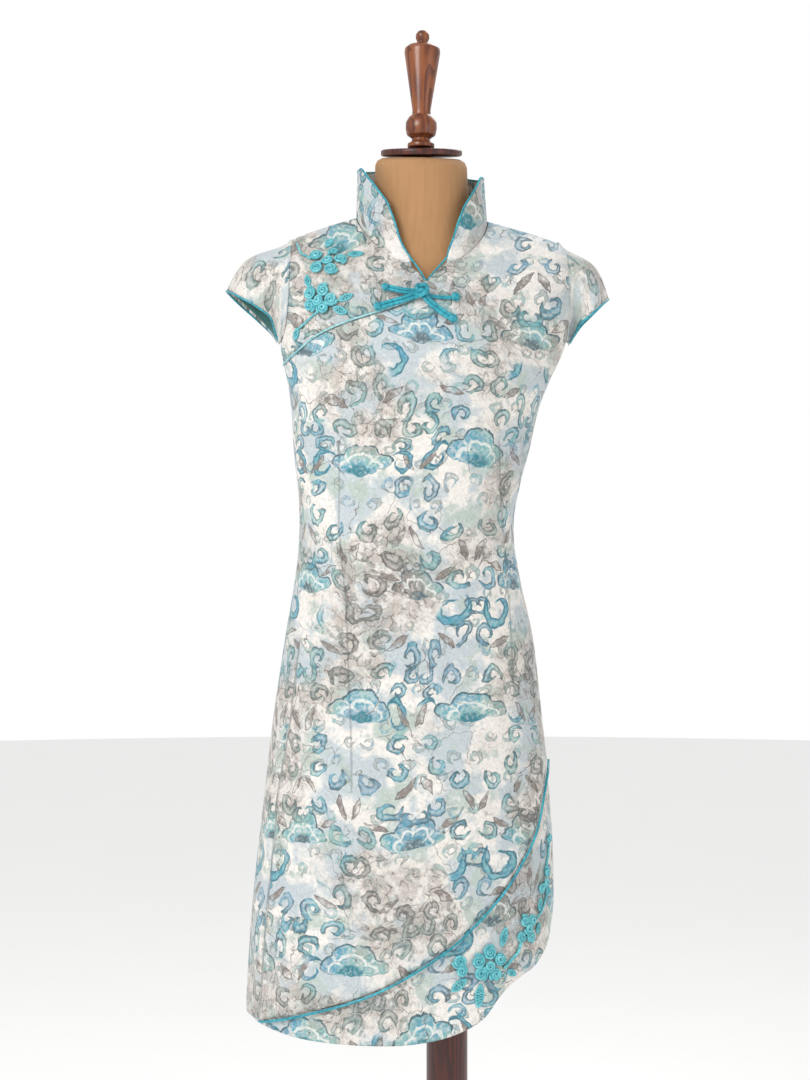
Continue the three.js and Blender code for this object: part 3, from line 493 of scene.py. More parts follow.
    # thin crossing branches and a sketched net in dark brown
    bent = drawn.node("VectorMath", {0: drawn, 1: cloth.noise(38.0, 3.0, out=1).scaled(0.03, 0.03, 0)},
                      operation="ADD")
    for scale, width, strength in ((26.0, 0.016, cloth.noise(19.0, 2.0).step(0.50, 0.56) * 0.8),
                                   (88.0, 0.06, (sketched * 0.6 + 0.2) * fine.step(0.42, 0.56))):
        net = bent.node("TexVoronoi", {"Vector": bent, "Scale": scale}, feature="DISTANCE_TO_EDGE",
                        voronoi_dimensions="2D")
        look = (net.step(width, width * 0.35) * strength).between(look, colour("5f5651"))

    # the jacquard: fine slanting floats, lighter and darker than the print over them
    plain = cloth.axes()
    leaning = cloth.node("VectorRotate", {0: cloth, "Angle": 0.7}, rotation_type="Z_AXIS")
    floats = leaning.scaled(1500, 190, 1).noise(1.0, 2.0)
    counter = cloth.node("VectorRotate", {0: cloth, "Angle": -0.8}, rotation_type="Z_AXIS").scaled(
        1300, 170, 1).noise(1.0, 2.0)
    look = (floats.step(0.55, 0.68) * 0.42).between(look, colour("f7f5f1"))
    look = (counter.step(0.57, 0.70) * (sketched * 0.4 + 0.42)).between(look, colour("737470"))
    twill = ((plain[0] * 2600).math("SINE") * (plain[1] * 2600).math("SINE")) * 0.5 + 0.5
    return look, twill * 0.3 + floats * 0.9 + counter * 0.5


def printed(cloth):
    look, weave = damask(cloth)
    seam = cloth.node("Attribute", {}, out=2, attribute_name="stitching")
    groove = abs(seam).step(0.0016, 0.0002)
    # painted shade: the groove of each dart and side seam is darkened towards grey 4b5355 in the base colour
    seam_groove_shade = groove * 0.32
    return {"Base Color": seam_groove_shade.between(look, colour("4b5355")), "Roughness": 0.62 + weave * 0.12,
            "Sheen Weight": 0.25, "Sheen Roughness": 0.4,
            "Normal": bump(weave * 0.00025 - groove * 0.0009, 0.8, 1.0)}


cloth_print = finish_of("printed_jacquard", printed, uv="cloth")

# Darts and folds of the cloth as it hangs: where each runs, from (x, z) to (x, z) on the front, how
# far it bows aside, its half-width, and how high it stands, or how deep it sinks if negative.
SIDE_SEAM = [(-161, 940), (-172, 850), (-185, 775), (-192, 690), (-200, 600), (-205, 530), (-206, 480)]
DARTS = [[(-118, 1152), (-119, 1058), (-111, 984), (-104, 826), (-104, 766)],
         [(56, 1154), (63, 1036), (68, 960), (72, 870)],
         SIDE_SEAM]
FRONT_FOLDS = [
    (60, 1215, 64, 1000, 4, 7, -3.2), (74, 1220, 78, 980, -3, 6, 4.2), (88, 1205, 90, 1010, 3, 5, -3),
    (44, 1190, 50, 1040, 2, 7, 1.6), (-125, 1180, -126, 1040, -3, 8, -2.2), (-138, 1190, -140, 1060, 2, 7, 2.2),
    (-100, 1120, -92, 1010, 3, 9, 1.4), (104, 1262, 134, 1230, 6, 7, 3.4), (96, 1250, 128, 1212, 5, 7, -2.4),
    (110, 1240, 122, 1180, 4, 8, 2.4), (-160, 1238, -130, 1205, -5, 7, 2.6), (-168, 1220, -140, 1180, -4, 7, -2),
    (-100, 1060, -10, 1046, -3, 6, -1.3), (-60, 1040, 50, 1052, 3, 7, 1.5), (-110, 1030, -40, 1018, -2, 6, 1.2),
    (0, 1028, 60, 1016, 3, 7, -1.3), (-120, 930, -80, 640, -6, 16, 1.8), (-60, 900, -40, 620, 4, 18, -1.8),
    (10, 900, 30, 680, 4, 16, 1.8), (60, 930, 80, 760, 3, 12, -1.8), (-170, 880, -190, 560, 3, 12, -2.2),
    (-185, 900, -205, 540, 0, 9, 2.4), (-150, 700, -156, 540, 3, 14, 1.6), (96, 900, 112, 800, -2, 8, 1.8)]


def along_line(points, x, z):
    """Signed distance from a line through points, positive on its left, and the share along it."""
    points = np.asarray(points, float)
    start, end = points[:-1], points[1:]
    run = end - start
    span = (run ** 2).sum(1)
    dx, dz = x[:, None] - start[:, 0], z[:, None] - start[:, 1]
    share = np.clip((dx * run[:, 0] + dz * run[:, 1]) / span, 0, 1)
    off_x, off_z = dx - share * run[:, 0], dz - share * run[:, 1]
    distance = np.hypot(off_x, off_z)
    near = distance.argmin(1)
    pick = np.arange(len(x)), near
    side = np.where(run[near, 0] * off_z[pick] - run[near, 1] * off_x[pick] >= 0, 1, -1)
    lengths = np.sqrt(span)
    before = np.concatenate([[0], np.cumsum(lengths)])[near]
    return side * distance[pick], (before + share[pick] * lengths[near]) / lengths.sum()


def curve_through(points, steps=6):
    """A smooth line through points of any dimension."""
    points = np.asarray(points, float)
    padded = np.concatenate([[2 * points[0] - points[1]], points, [2 * points[-1] - points[-2]]])
    out = []
    for n in range(len(points) - 1):
        before, start, end, after = padded[n:n + 4]
        for t in np.arange(steps) / steps:
            out.append(0.5 * (2 * start + (end - before) * t + (2 * before - 5 * start + 4 * end - after)
                              * t ** 2 + (3 * start - before - 3 * end + after) * t ** 3))
    return np.array(out + [points[-1]])


def relief(x, z, folds):
    """How far the cloth stands off its smooth shape at points seen from ahead."""
    total = np.zeros_like(x)
    for x0, z0, x1, z1, bow, width, height in folds:
        length = math.hypot(x1 - x0, z1 - z0)
        dx, dz = (x1 - x0) / length, (z1 - z0) / length
        share = ((x - x0) * dx + (z - z0) * dz) / length
        inside = np.clip(share, 0, 1)
        fade = np.sin(math.pi * np.clip(share, 0, 1)) ** 0.8 * ((share > 0) & (share < 1))
        aside = (x - x0) * dz - (z - z0) * dx - bow * 4 * inside * (1 - inside)
        lean = aside / width + 0.35 * np.tanh(aside / width)
        total += height * fade * (np.exp(-lean ** 2) - 0.4 * np.exp(-(aside / width / 1.9) ** 2))
    return total


def cut_by(bm, keep):
    """Trims a flat mesh along the zero line of keep(x, y), and drops what lies below zero."""
    flat = np.array([vert.co[:2] for vert in bm.verts])
    value = dict(zip(bm.verts, keep(flat[:, 0], flat[:, 1])))
    crossing = []
    for edge in list(bm.edges):
        a, b = edge.verts
        if (value[a] > 0) != (value[b] > 0):
            _, made = bmesh.utils.edge_split(edge, a, value[a] / (value[a] - value[b]))
            value[made] = 0
            crossing.append(made)
    bmesh.ops.connect_verts(bm, verts=crossing)
    gone = [face for face in bm.faces if min(value[vert] for vert in face.verts) < 0]
    bmesh.ops.delete(bm, geom=gone, context="FACES")
    loose = [vert for vert in bm.verts if not vert.link_faces]
    bmesh.ops.delete(bm, geom=loose, context="VERTS")


def arc_from(middle, angle, row):
    """The length along a girth from the angle middle, in mm."""
    total, steps = np.zeros_like(angle), 24
    last = skin(np.full_like(angle, middle), row)
    for step in range(1, steps + 1):
        here = skin(middle + (angle - middle) * step / steps, row)
        total += np.linalg.norm(here - last, axis=1)
        last = here
    return np.sign(angle - middle) * total


def cloth_panel(name, angles, rows, size, depth, keep, folds, thread=(0, 0), backwards=False):
    """A panel of the dress: a grid over angles and rows of the figure, trimmed where keep is below zero."""
    bm = bmesh.new()
    columns, lines = size
    made = bmesh.ops.create_grid(bm, x_segments=columns, y_segments=lines, size=0.5)["verts"]
    for vert in made:
        turn = angles[0] + (vert.co.x + 0.5) * (angles[1] - angles[0])
        even = math.atan2(math.copysign(abs(math.sin(turn)) ** 1.16, math.sin(turn)),
                          math.copysign(abs(math.cos(turn)) ** 1.16, math.cos(turn)))
        vert.co.x = even + (math.tau if even < -1e-6 and angles[0] > 1 else 0)
        if angles[0] > 1 and vert.co.x < 1:
            vert.co.x = math.tau
        vert.co.y = rows[0] + (vert.co.y + 0.5) * (rows[1] - rows[0])
    for line in keep:
        cut_by(bm, line)
    flat = np.array([vert.co[:2] for vert in bm.verts])
    angle, row = flat[:, 0], flat[:, 1]
    place, out = skin(angle, row), normal_at(angle, row)
    x, z = place[:, 0], place[:, 2]
    lift = relief(x, z, folds) * np.clip(np.abs(out[:, 1]) * 2.5, 0, 1)
    if name == "shoulder":  # it comes up level with the back at the shoulder seam
        depth = depth * np.clip((angle - math.pi) / 0.2 + np.clip((1262 - z) / 20, 0, 1), 0, 1)
    place = place + out * (np.clip(lift, -3, 6) - depth)[:, None]
    stitching = np.full_like(x, 1.0)
    for dart in () if backwards else DARTS:
        away, share = along_line(dart, x, z)
        near = (share > 0.001) & (share < 0.999) & (np.abs(away) < 12)
        stitching = np.where(near, away * MM, np.where(np.abs(stitching) < 0.02, stitching, np.sign(away)))
    middle = math.pi / 2 if backwards else 1.5 * math.pi
    u = arc_from(middle, angle, row) * (-1 if backwards else 1)
    yoke = np.clip((z - 1190) / 90, 0, 1)
    u = (u + (x + 35 - u) * yoke * yoke * (3 - 2 * yoke)) * MM + thread[0]
    if not backwards:
        beyond = along_line(SIDE_SEAM, x, z)[0] * np.where(z < 940, -1, 0)
        u += np.where(beyond > 0, 0.045, 0)
    stitch_layer = bm.verts.layers.float.new("stitching")
    uv_layer = bm.loops.layers.uv.new("cloth")
    for number, vert in enumerate(bm.verts):
        vert.co = place[number] * MM
        vert[stitch_layer] = stitching[number]
        for loop in vert.link_loops:
            loop[uv_layer].uv = (u[number], z[number] * MM + thread[1])
    made = piece_from(bm, name, cloth_print)
    wall = made.modifiers.new("wall", "SOLIDIFY")
    wall.thickness, wall.offset = 1.4 * MM, -1
    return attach(made, "root")


V_NECK = [(-44, 1470), (-44, 1400), (-40, 1347), (-31.5, 1334), (-26, 1323), (-24.3, 1317.5), (-22.3, 1323),
          (-14.5, 1334.5), (-4, 1348), (3, 1400), (3, 1470)]
OPENING = [(-205, 1228), (-184, 1236), (-173, 1241), (-160, 1250), (-141, 1263), (-110, 1276), (-65, 1290),
           (-38, 1301), (-28, 1313.5)]
FRONT_HEM = [(-224, 523), (-204, 523), (-190, 527), (-146, 541), (-97, 557), (-61, 573), (-29, 591),
             (1, 611), (25, 632), (45, 652), (63, 673), (78, 696), (90, 717), (98, 740), (104, 768),
             (111, 800), (122, 836)]
LOW_HEM = [(-226, 530), (-216, 521), (-190, 514.5), (-152, 509), (-105, 506.5), (-52, 506), (-10, 511),
           (22, 521), (40, 532), (54, 550), (66, 562), (80, 571), (94, 578), (105, 589), (114, 606),
           (121, 640), (140, 700)]
ARMHOLE = {"row": 14.1, "rows": 1.95, "angle": math.radians(19)}
opening_line = np.concatenate([[(-260, 1205)], curve_through(OPENING), [(-27, 1316), (-27, 1480)]])
v_line = curve_through(V_NECK)
hem_line = np.concatenate([[(-270, 523)], curve_through(FRONT_HEM), [(150, 900)]])
low_line = np.concatenate([[(-270, 536)], curve_through(LOW_HEM), [(170, 800)]])


def right_of(line, shift=(0, 0)):
    def keep(angle, row):
        place = skin(angle, row)
        return -along_line(np.asarray(line) + shift, place[:, 0], place[:, 2])[0]
    return keep


def left_of(line, shift=(0, 0)):
    return lambda angle, row: -right_of(line, shift)(angle, row)


def outside_armhole(middle):
    def keep(angle, row):
        return np.hypot((angle - middle) / ARMHOLE["angle"], (row - ARMHOLE["row"]) / ARMHOLE["rows"]) - 1
    return keep


def outside_v(angle, row):
    place = skin(angle, row)
    return -along_line(v_line, place[:, 0], place[:, 2])[0]


front = (math.pi, math.tau)
front_piece = cloth_panel(
    "front", front, (0, TOP_ROW), (120, 210), 0,
    [right_of(opening_line), outside_v, left_of(hem_line), outside_armhole(math.tau)], FRONT_FOLDS)
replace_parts(front_piece, "front_panel")
shoulder_piece = cloth_panel(
    "shoulder", (math.pi, 1.55 * math.pi), (11, TOP_ROW), (60, 60), 1.8,
    [left_of(opening_line, (14, -26)), outside_v, outside_armhole(math.pi)], FRONT_FOLDS, (0.02, 0.03))
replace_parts(shoulder_piece, "shoulder_panel")
underlay_piece = cloth_panel(
    "underlay", front, (0, 4.6), (120, 84), 1.8,
    [left_of(low_line), right_of(hem_line, (0, 40))], FRONT_FOLDS, (0.05, 0.08))
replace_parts(underlay_piece, "underlay_panel")
back_piece = cloth_panel(
    "back", (0, math.pi), (0, TOP_ROW), (110, 200), 0,
    [left_of(low_line), outside_armhole(0), outside_armhole(math.pi)], [], (0.04, 0.02), backwards=True)
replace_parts(back_piece, "back_panel")

# ---------- the collar ----------
# A standing collar of the same cloth over stiff interfacing. It is open in front, where its edges
# spread from the V of the neck, and it is printed inside as well.

COLLAR_EDGES = np.array([(0, 257, 285), (0.12, 250, 288), (0.22, 246, 292), (0.41, 241, 298),
                         (0.6, 234, 306), (0.8, 217, 321), (1, 197, 336)])  # rise, left and right degrees
COLLAR_BASE = np.array((1403.9, 1344.6, 1414.6, -28.5, 73, 73, 61, 2.15, 1))
COLLAR_TOP = np.array((1451, 1442, 1463, -29.5, 71, 66, 60, 2.1, 4))
CLOTH = 1.4


def collar_angle(share, rise):
    left, right = (np.radians(np.interp(rise, COLLAR_EDGES[:, 0], COLLAR_EDGES[:, n])) for n in (1, 2))
    return left + (right - math.tau - left) * share


def collar_point(angle, rise, inset=0.0):
    girth = COLLAR_BASE + (COLLAR_TOP - COLLAR_BASE) * rise[:, None]
    girth[:, 4:7] -= inset
    place = ring_point(girth, angle)
    place[:, 2] += 1.2 * (1 - rise)
    return place


def cloth_grid(name, size, place, uv, material, node, turned_in=False):
    """A cloth piece whose grid is laid by place(across, up) in mm, with uv(across, up) in metres."""
    bm = bmesh.new()
    made = bmesh.ops.create_grid(bm, x_segments=size[0], y_segments=size[1], size=0.5)["verts"]
    share = np.array([vert.co[:2] for vert in made]) + 0.5
    uv_layer = bm.loops.layers.uv.new("cloth")
    bm.verts.layers.float.new("stitching")
    stitch_layer = bm.verts.layers.float["stitching"]
    for vert, point, (across, up) in zip(bm.verts, place(share[:, 0], share[:, 1]) * MM, share):
        vert.co = point
        vert[stitch_layer] = 1.0
        for loop in vert.link_loops:
            loop[uv_layer].uv = uv(across, up)
    if turned_in:
        bmesh.ops.reverse_faces(bm, faces=bm.faces)
    made = piece_from(bm, name, material)
    wall = made.modifiers.new("wall", "SOLIDIFY")
    wall.thickness, wall.offset = CLOTH * MM, -1
    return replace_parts(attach(made, "root"), node)


standing_collar = cloth_grid(
    "standing_collar", (120, 18),
    lambda share, rise: collar_point(collar_angle(share, rise * 1.07 - 0.07), rise * 1.07 - 0.07),
    lambda share, rise: (collar_angle(share, rise) * -0.07,
                         collar_point(np.array([collar_angle(share, rise)]), np.array([rise]))[0, 2] * MM), cloth_print, "collar",
    turned_in=True)

# ---------- the cap sleeves ----------
# Each short sleeve is one curved piece set into the armhole, rounded up over the shoulder, and faced
# inside with plain dark teal lining that shows where the sleeve stands off.

SLEEVE_HEMS = {
    "left": [(-188, -8, 1262), (-191, -25, 1276), (-196, -38, 1291), (-211, -44, 1302), (-231, -36, 1314),
             (-245.5, -8, 1323), (-244, 26, 1321), (-232, 44, 1310), (-214, 50, 1294), (-199, 42, 1279),
             (-191, 24, 1267)],
    "right": [(137, 12, 1262), (141, -10, 1272), (148, -26, 1284), (161, -34, 1296), (173, -26, 1307),
              (181, 0, 1315), (177, 34, 1312), (168, 52, 1303), (155, 58, 1290), (146, 52, 1277),
              (140, 36, 1267)]}
SLEEVE_PUFF, SLEEVE_SPAN, LAYER, GAP = 14, math.radians(24), 1.8, 0.4


def armhole_point(side, phi):
    swing = ARMHOLE["angle"] * np.sin(phi)
    angle = math.pi + swing if side == "left" else math.tau - swing
    return skin(angle, ARMHOLE["row"] - ARMHOLE["rows"] * np.cos(phi))


def sleeve_point(side, share, reach, inset=0.0):
    hem = curve_through(SLEEVE_HEMS[side], 12)
    outward = -1 if side == "left" else 1
    phi = SLEEVE_SPAN + share * (math.tau - 2 * SLEEVE_SPAN)
    start = armhole_point(side, phi)
    centre = armhole_point(side, np.array([0, math.pi])).mean(0)
    inward = (centre - start) * (0, 1, 1)
    start += inward / np.linalg.norm(inward, axis=1)[:, None] * (0.1 + inset)
    at = np.clip(share, 0, 1) * (len(hem) - 1)
    end = np.stack([np.interp(at, np.arange(len(hem)), hem[:, n]) for n in range(3)], axis=1)
    inward = (np.mean(SLEEVE_HEMS[side], axis=0) - end) * (0, 1, 1)
    end += inward / np.linalg.norm(inward, axis=1)[:, None] * inset
    place = start + (end - start) * reach[:, None]
    puff = SLEEVE_PUFF * np.sin(math.pi * share) * np.sin(math.pi * np.maximum(reach, 0) ** 1.4)
    puff += 1.1 * np.sin(share * 19 + 1) * np.sin(math.pi * reach) * np.sin(math.pi * share)
    return place + puff[:, None] * np.array((outward * 0.3, 0, 1))


def lining(cloth):
    u, v, _ = cloth.axes()
    weave = (u * 5200).math("SINE") * (v * 5200).math("SINE") * 0.5 + 0.5
    slub = cloth.scaled(60, 500, 0).noise(1.0, 3.0)
    return {"Base Color": (weave * 0.4 + slub * 0.6).between(colour("235754"), colour("3a7d79")),
            "Roughness": 0.62, "Sheen Weight": 0.3, "Normal": bump(weave + slub, 0.3, 0.0003)}


lining_cloth = finish_of("teal_lining", lining, uv="cloth")
for side, start in (("left", 0.05), ("right", 0.41)):
    cap_sleeve = cloth_grid(
        "cap_sleeve_" + side, (72, 26), lambda share, reach: sleeve_point(side, share, reach * 1.08 - 0.08),
        lambda share, reach: (start + 0.27 * share, 0.52 + 0.06 * reach), cloth_print,
        "sleeve_" + side, turned_in=side == "right")
    facing = cloth_grid(
        "facing_" + side, (72, 20),
        lambda share, reach: sleeve_point(side, share, 0.12 + 0.84 * reach, LAYER + GAP),
        lambda share, reach: (0.27 * share, 0.05 * reach), lining_cloth,
        "sleeve_facing_" + side, turned_in=side == "right")

# ---------- the bindings ----------
# Bias-cut turquoise satin rolled round a thin cord binds the collar, the slanted opening, the curved
# hem and the sleeve hems. It catches a light line along its top and is dark beside the cloth.

PIPING_RADIUS = 1.4
BINDING_OUT = 0.7  # the binding wraps the edge of the cloth
EDGE_RADIUS = 1.15


def satin(name, shade, light):
    def build(cord):
        along, around, _ = cord.axes()
        bias = ((along * 2600 + around * 3).math("SINE")) * 0.5 + 0.5
        pull = cord.scaled(260, 1.2, 0).noise(1.0, 3.0)
        # painted sheen: long lighter streaks along the cord, painted into the base colour
        painted_sheen = cord.scaled(45, 3.0, 0).noise(1.0, 2.0)
        tone = (pull * 0.6 + painted_sheen * 0.6).step(0.40, 0.80)
        # the base colour runs between a shaded teal and a lit teal, partly by the real pull of the bias cut and
        # partly as painted sheen
        return {"Base Color": tone.between(colour(shade), colour(light)),
                "Roughness": 0.26 + bias * 0.08, "Sheen Weight": 0.2, "Sheen Roughness": 0.3,
                "Normal": bump(pull * 0.7 + bias * 0.3, 0.5, 0.0004)}
    return finish_of(name, build, uv="cord")


# each satin is given a shaded teal and a lit teal, and its painted sheen runs between them
turquoise_satin = satin("turquoise_satin", "0d7488", "43bccb")
pale_satin = satin("pale_satin", "5fa9b2", "b5dde0")
spray_satin = satin("spray_satin", "2a929f", "86dbe1")


def on_front(x, z, lift=0.0):
    """The points of the front that show at (x, z) from ahead, raised off the cloth, and their normals."""
    x, z = np.atleast_1d(np.asarray(x, float)), np.atleast_1d(np.asarray(z, float))
    angle = 1.5 * math.pi + np.arcsin(np.clip((x + 28) / 170, -0.95, 0.95))
    row = np.clip(np.searchsorted(GIRTHS[:, 1], z), 0.5, TOP_ROW) - 0.5
    for _ in range(40):
        point = skin(angle, row)
        around = (skin(angle + 0.01, row) - point) / 0.01
        rise = (skin(angle, row + 0.01) - point) / 0.01
        size = around[:, 0] * rise[:, 2] - around[:, 2] * rise[:, 0]
        dx, dz = x - point[:, 0], z - point[:, 2]
        angle = np.clip(angle + np.clip((dx * rise[:, 2] - dz * rise[:, 0]) / size, -0.15, 0.15),
                        1.01 * math.pi, 1.99 * math.pi)
        row = np.clip(row + np.clip((around[:, 0] * dz - around[:, 2] * dx) / size, -0.5, 0.5),
                      0, TOP_ROW - 0.01)
    out = normal_at(angle, row)
    fold = relief(x, z, FRONT_FOLDS) * np.clip(np.abs(out[:, 1]) * 2.5, 0, 1)
    return skin(angle, row) + out * (np.clip(fold, -3, 6) + lift)[:, None], out


def add_cord(bm, points, radius, sides=12, smooth=4, flat=1.0):
    """A round cord through points in mm, rolled from satin, with its length kept for the weave."""
    path = curve_through(points, smooth) * MM
    radii = np.interp(np.linspace(0, 1, len(path)), np.linspace(0, 1, np.size(radius)),
                      np.atleast_1d(radius)) * MM
    along = np.gradient(path, axis=0)
    along /= np.linalg.norm(along, axis=1)[:, None]
    side = np.cross(along[0], (0.31, -0.9, 0.3))
    frames = []
    for run in along:
        side = side - run * side.dot(run)
        side /= np.linalg.norm(side)
        frames.append((side, np.cross(run, side)))
    length = np.concatenate([[0], np.cumsum(np.linalg.norm(np.diff(path, axis=0), axis=1))])
    uv_layer = bm.loops.layers.uv.get("cord") or bm.loops.layers.uv.new("cord")
    made = bmesh.ops.create_grid(bm, x_segments=len(path) - 1, y_segments=sides, size=0.5)["verts"]
    for vert in made:
        step = round((vert.co.x + 0.5) * (len(path) - 1))
        turn = (vert.co.y + 0.5) * math.tau
        across, up = frames[step]
        for loop in vert.link_loops:
            loop[uv_layer].uv = (length[step], turn / math.tau)
        vert.co = path[step] + (across * math.cos(turn) + up * math.sin(turn) * flat) * radii[step]
    for end in (0, len(path) - 1):
        rim = [v for v in made if (v.co - Vector(path[end])).length < radii[end] * 1.01]
    return made


def cord_piece(name, routes, node, material=turquoise_satin):
    bm = bmesh.new()
    for points, radius in routes:
        add_cord(bm, points, radius)
    bmesh.ops.remove_doubles(bm, verts=bm.verts, dist=2e-6)
    bmesh.ops.holes_fill(bm, edges=[e for e in bm.edges if e.is_boundary], sides=40)
    bmesh.ops.recalc_face_normals(bm, faces=bm.faces)
    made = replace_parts(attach(piece_from(bm, name, material), "root"), node)
    return made


def beyond_collar(share, rise, away):
    """Points beyond the collar's edge, clear of it by half the binding."""
    share, rise = np.broadcast_arrays(np.asarray(share, float), np.asarray(rise, float))

    def at(turn, up):
        return collar_point(collar_angle(share, rise) + turn, rise + up, CLOTH / 2)

    def edge(near):
        near = np.clip(near, 0, 1)
        return collar_point(collar_angle(share, near), near, CLOTH / 2)
    if away == "up":
        return at(0, 0) + (0, 0, BINDING_OUT)
    out = np.cross(at(0.02, 0) - at(-0.02, 0), at(0, 0.02) - at(0, -0.02))
    aside = np.cross(edge(rise + 0.02) - edge(rise - 0.02), out)
    aside /= np.linalg.norm(aside, axis=1)[:, None]
    return at(0, 0) + aside * (BINDING_OUT if away == "left" else -BINDING_OUT)


edge_rises = np.array([0.03, 0.12, 0.22, 0.32, 0.41, 0.5, 0.6, 0.7, 0.8, 0.88])
corner_up = np.array((0, 0, BINDING_OUT))
collar_route = np.concatenate([
    on_front([-24.5, -30.5], [1323, 1335], -0.6)[0],
    beyond_collar(np.zeros(10), edge_rises, "left"),
    beyond_collar([0], [1], "left") + corner_up,
    beyond_collar(np.linspace(0.04, 0.96, 17), np.ones(17), "up"),
    beyond_collar([1], [1], "right") + corner_up,
    beyond_collar(np.ones(10), edge_rises[::-1], "right"),
    on_front([-15.5, -22.8], [1334.5, 1324.5], -0.6)[0]])
cord_piece("collar_binding", [(collar_route, EDGE_RADIUS)], "collar_piping")


def beside(line, dx, dz, lift):
    x, z = curve_through(line, 3).T
    return on_front(x + dx, z + dz, lift)[0]


cord_piece("opening_binding", [(beside(OPENING[1:-1], 0.6, 2.4, 0.9), EDGE_RADIUS)],
           "opening_piping", pale_satin)
cord_piece("hem_binding", [(beside(FRONT_HEM[1:-1], 0.9, -2.5, PIPING_RADIUS + GAP), PIPING_RADIUS)],
           "hem_piping")
for side in ("left", "right"):
    share = np.linspace(0.03, 0.97, 60)
    edge = sleeve_point(side, share, np.ones(60), CLOTH / 2)
    along = (sleeve_point(side, share + 0.02, np.ones(60), CLOTH / 2)
             - sleeve_point(side, share - 0.02, np.ones(60), CLOTH / 2))
    along /= np.linalg.norm(along, axis=1)[:, None]
    outward = edge - sleeve_point(side, share, np.full(60, 0.9), CLOTH / 2)
    outward -= along * (outward * along).sum(1)[:, None]
    outward /= np.linalg.norm(outward, axis=1)[:, None]
    cord_piece("sleeve_binding_" + side, [(edge + outward * BINDING_OUT, EDGE_RADIUS)],
               "sleeve_piping_" + side)

# ---------- the frog ----------
# One frog closes the V: a knotted button of satin cord, and four arms of doubled cord that end in
# tight little coils, all tacked down by hand.

FROG_KNOT = (-30, 1309, 7.5)
FROG_ARMS = {
    "upper_left": (3.4, 5.4, [(-36, 1309), (-46, 1309.5), (-57, 1311.5), (-68, 1314)]),
    "lower_left": (3.8, 5.8, [(-33, 1306), (-40, 1303.5), (-58, 1297.5), (-76, 1292.5)]),
    "upper_right": (2, 6, [(-24, 1307), (-17, 1304.5), (-6, 1303.5), (7, 1303.5)]),
    "lower_right": (3.6, 6, [(-26, 1304), (-22, 1299), (-9, 1288), (4, 1280)])}


def coil_route(x, z, outer, radius, lift, dome, turns, start=0.0, way=1):
    """A cord wound in from a rim to the middle of a low dome on the front, seen from ahead."""
    (centre,), (out,) = on_front(x, z)
    right = np.cross((0, 0, 1.0), out)
    right = -right / np.linalg.norm(right)
    up = np.cross(out, -right)
    share = np.linspace(0, 1, int(turns * 12) + 2)[:, None]
    turn = start + way * share * turns * math.tau
    reach = (outer - radius) * (1 - share) + 0.3 * radius * share
    height = lift + radius + dome * (1 - (reach / outer) ** 2)
    return centre + reach * (np.cos(turn) * right + np.sin(turn) * up) + height * out


for name, (radius, ball, places) in FROG_ARMS.items():
    x, z = np.array(places, float).T
    middle, out = on_front(x, z, radius + 1.2)
    along = np.gradient(middle, axis=0)
    aside = np.cross(along, out)
    aside /= np.linalg.norm(aside, axis=1)[:, None]
    routes = [(middle + aside * radius * 0.52 * way, radius * 0.56) for way in (-1, 1)]
    for level, size in ((0, 1.0), (ball * 0.75, 0.8)):
        routes.append((coil_route(x[-1], z[-1], ball * size, ball * 0.3, level * 0.9 + 0.6, ball * 0.25, 1.6,
                                  0.7 + level, 1), ball * 0.32))
    cord_piece("frog_" + name, routes, "frog_arm_" + name)

(knot_at,), (knot_out,) = on_front(FROG_KNOT[0], FROG_KNOT[1], FROG_KNOT[2] + 1)
turn = np.linspace(0, math.tau, 97)[:, None]
band = FROG_KNOT[2] - 2.4
weave_knot = knot_at + band * (np.cos(2 * turn) * (1 + 0.25 * np.cos(3 * turn)) * np.array((1, 0, 0))
                               + np.sin(2 * turn) * (1 + 0.25 * np.cos(3 * turn)) * np.array((0, 0, 1))
                               + 0.75 * np.sin(3 * turn) * knot_out)
core = knot_at + np.linspace(-1, 1, 9)[:, None] * np.array((0, 0, band * 0.7))
cord_piece("frog_button", [(weave_knot, 2.3), (core, [2, 4.5, 5.2, 4.5, 2])], "frog_knot")

# ---------- flowers, leaves and stems ----------
# Plum blossom sprays of thinner satin cord, coiled petal by petal and couched on the shoulder and
# the corner of the hem, with looped leaves and running stems.

FLOWERS = {
    "shoulder_flower_upper": [(-131, 1347, 6.5), (-144.5, 1353.5, 7.5), (-142.5, 1339, 7.5),
                              (-127, 1337.5, 7.5), (-117.5, 1348.5, 7.5), (-125, 1357, 6)],
    "shoulder_flower_lower": [(-140, 1303, 6.5), (-150, 1311, 7.5), (-135, 1313.5, 7.5),
                              (-126.5, 1303.5, 7.5), (-149.5, 1297.5, 7.5), (-135.5, 1294, 7.5)],
    "hem_flower_1": [(43, 587, 7), (31, 593, 8), (44, 601.5, 8), (55, 594, 7.5), (34, 579.5, 8), (50, 577, 7.5)],
    "hem_flower_2": [(86, 622, 6.5), (82, 631, 7), (91, 630, 6.5), (78.5, 615, 6.5), (88.5, 612.5, 7)],
    "hem_flower_3": [(106, 668, 6), (108, 679, 6.5), (102, 662, 5.5), (109, 659, 5.5)],
    "hem_bud_low": [(11, 594, 8), (13, 584, 7)], "hem_bud_high": [(111, 716, 5.5)]}
LEAVES = {
    "shoulder_leaf_1": (-130, 1370.5, 17, 9, 80), "shoulder_leaf_2": (-101, 1356, 19, 9, 10),
    "shoulder_leaf_3": (-153, 1325, 15, 8, 110), "shoulder_leaf_4": (-117, 1291, 18, 9, -25),
    "shoulder_leaf_5": (-111, 1305, 18, 8, 20), "shoulder_leaf_6": (-166, 1268, 15, 9, 235),
    "hem_leaf_1": (11, 568.5, 22, 10, 215), "hem_leaf_2": (33, 555.5, 26, 11, 262),
    "hem_leaf_3": (60, 616.5, 22, 9, 72), "hem_leaf_4": (68.5, 577, 14, 8, -20),
    "hem_leaf_5": (99, 620, 13, 7, 60), "hem_leaf_6": (101.5, 645, 15, 7, 250)}
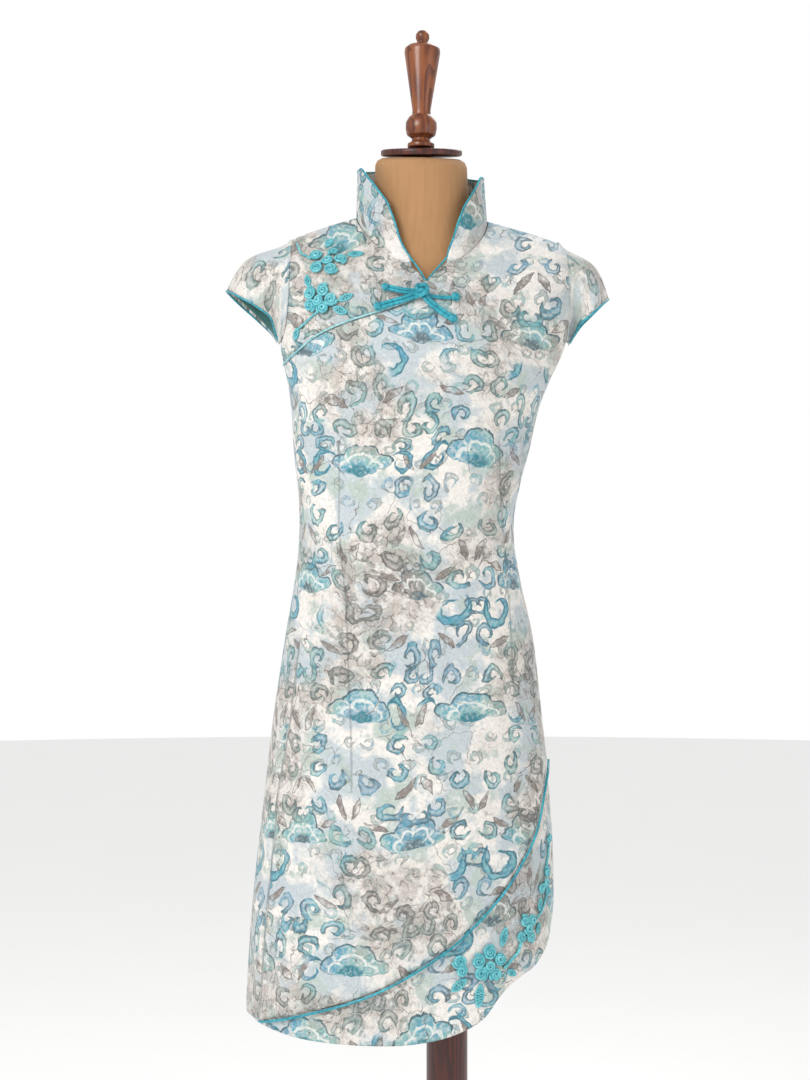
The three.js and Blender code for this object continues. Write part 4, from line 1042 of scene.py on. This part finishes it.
STEMS = {"shoulder_tendril": (1.2, [(-155, 1354), (-161, 1358), (-164, 1365)]),
         "shoulder_stem": (1.2, [(-147, 1286), (-153, 1281), (-158, 1277)]),
         "hem_stem_1": (1.8, [(64, 587), (69, 592), (75, 598), (77, 604)]),
         "hem_stem_2": (1.2, [(97, 631), (103, 638), (107, 648), (108, 651)]),
         "hem_stem_3": (1.2, [(109, 688), (111, 698), (112, 708)])}
PETAL_CORD = 1.6  # the cord is soft, so neighbouring petals press together

for name, coils in FLOWERS.items():
    routes = []
    for number, (x, z, outer) in enumerate(coils):
        middle_lift = 1.1 if number == 0 and len(coils) > 2 else 0.0
        outer *= 1.16
        turns = (outer - PETAL_CORD) / (2.0 * PETAL_CORD)
        routes.append((coil_route(x, z, outer, PETAL_CORD, middle_lift - LAYER, 2.4, turns, number * 1.1,
                                  1 if number % 2 else -1), PETAL_CORD))
    cord_piece(name.replace("shoulder_flower", "blossom").replace("hem_", "hem_spray_"), routes, name,
               spray_satin)

for name, (x, z, length, width, degrees) in LEAVES.items():
    (centre,), (out,) = on_front(x, z, 1.1 - LAYER)
    heading = np.array((math.cos(math.radians(degrees)), 0, math.sin(math.radians(degrees))))
    aside = np.cross(out, heading)
    aside /= np.linalg.norm(aside)
    heading = np.cross(aside, out)
    share = np.linspace(-1, 1, 9)[:, None]
    bulge = (1 - share ** 2) * (width / 2 - 1.0)
    routes = []
    for way in (-1, 1):
        routes.append((centre + share * heading * (length / 2 - 0.8) + way * bulge * aside, 1.15))
    rib = np.linspace(-0.8, 0.8, 2 * round(length / 3.4))[:, None]
    swing = np.where(np.arange(len(rib)) % 2, 1, -1)[:, None] * (1 - rib ** 2) * (width / 2 - 1.2)
    routes.append((centre + rib * heading * length / 2 + swing * aside + 0.3 * out, 0.7))
    cord_piece("couched_" + name, routes, name, spray_satin)

for name, (radius, places) in STEMS.items():
    x, z = np.array([places[0], *places, places[-1]], float).T
    x[0], z[0] = 1.9 * x[0] - 0.9 * x[2], 1.9 * z[0] - 0.9 * z[2]
    x[-1], z[-1] = 1.9 * x[-1] - 0.9 * x[-3], 1.9 * z[-1] - 0.9 * z[-3]
    cord_piece("couched_" + name, [(on_front(x, z, radius + 0.4 - LAYER)[0], radius)], name, spray_satin)
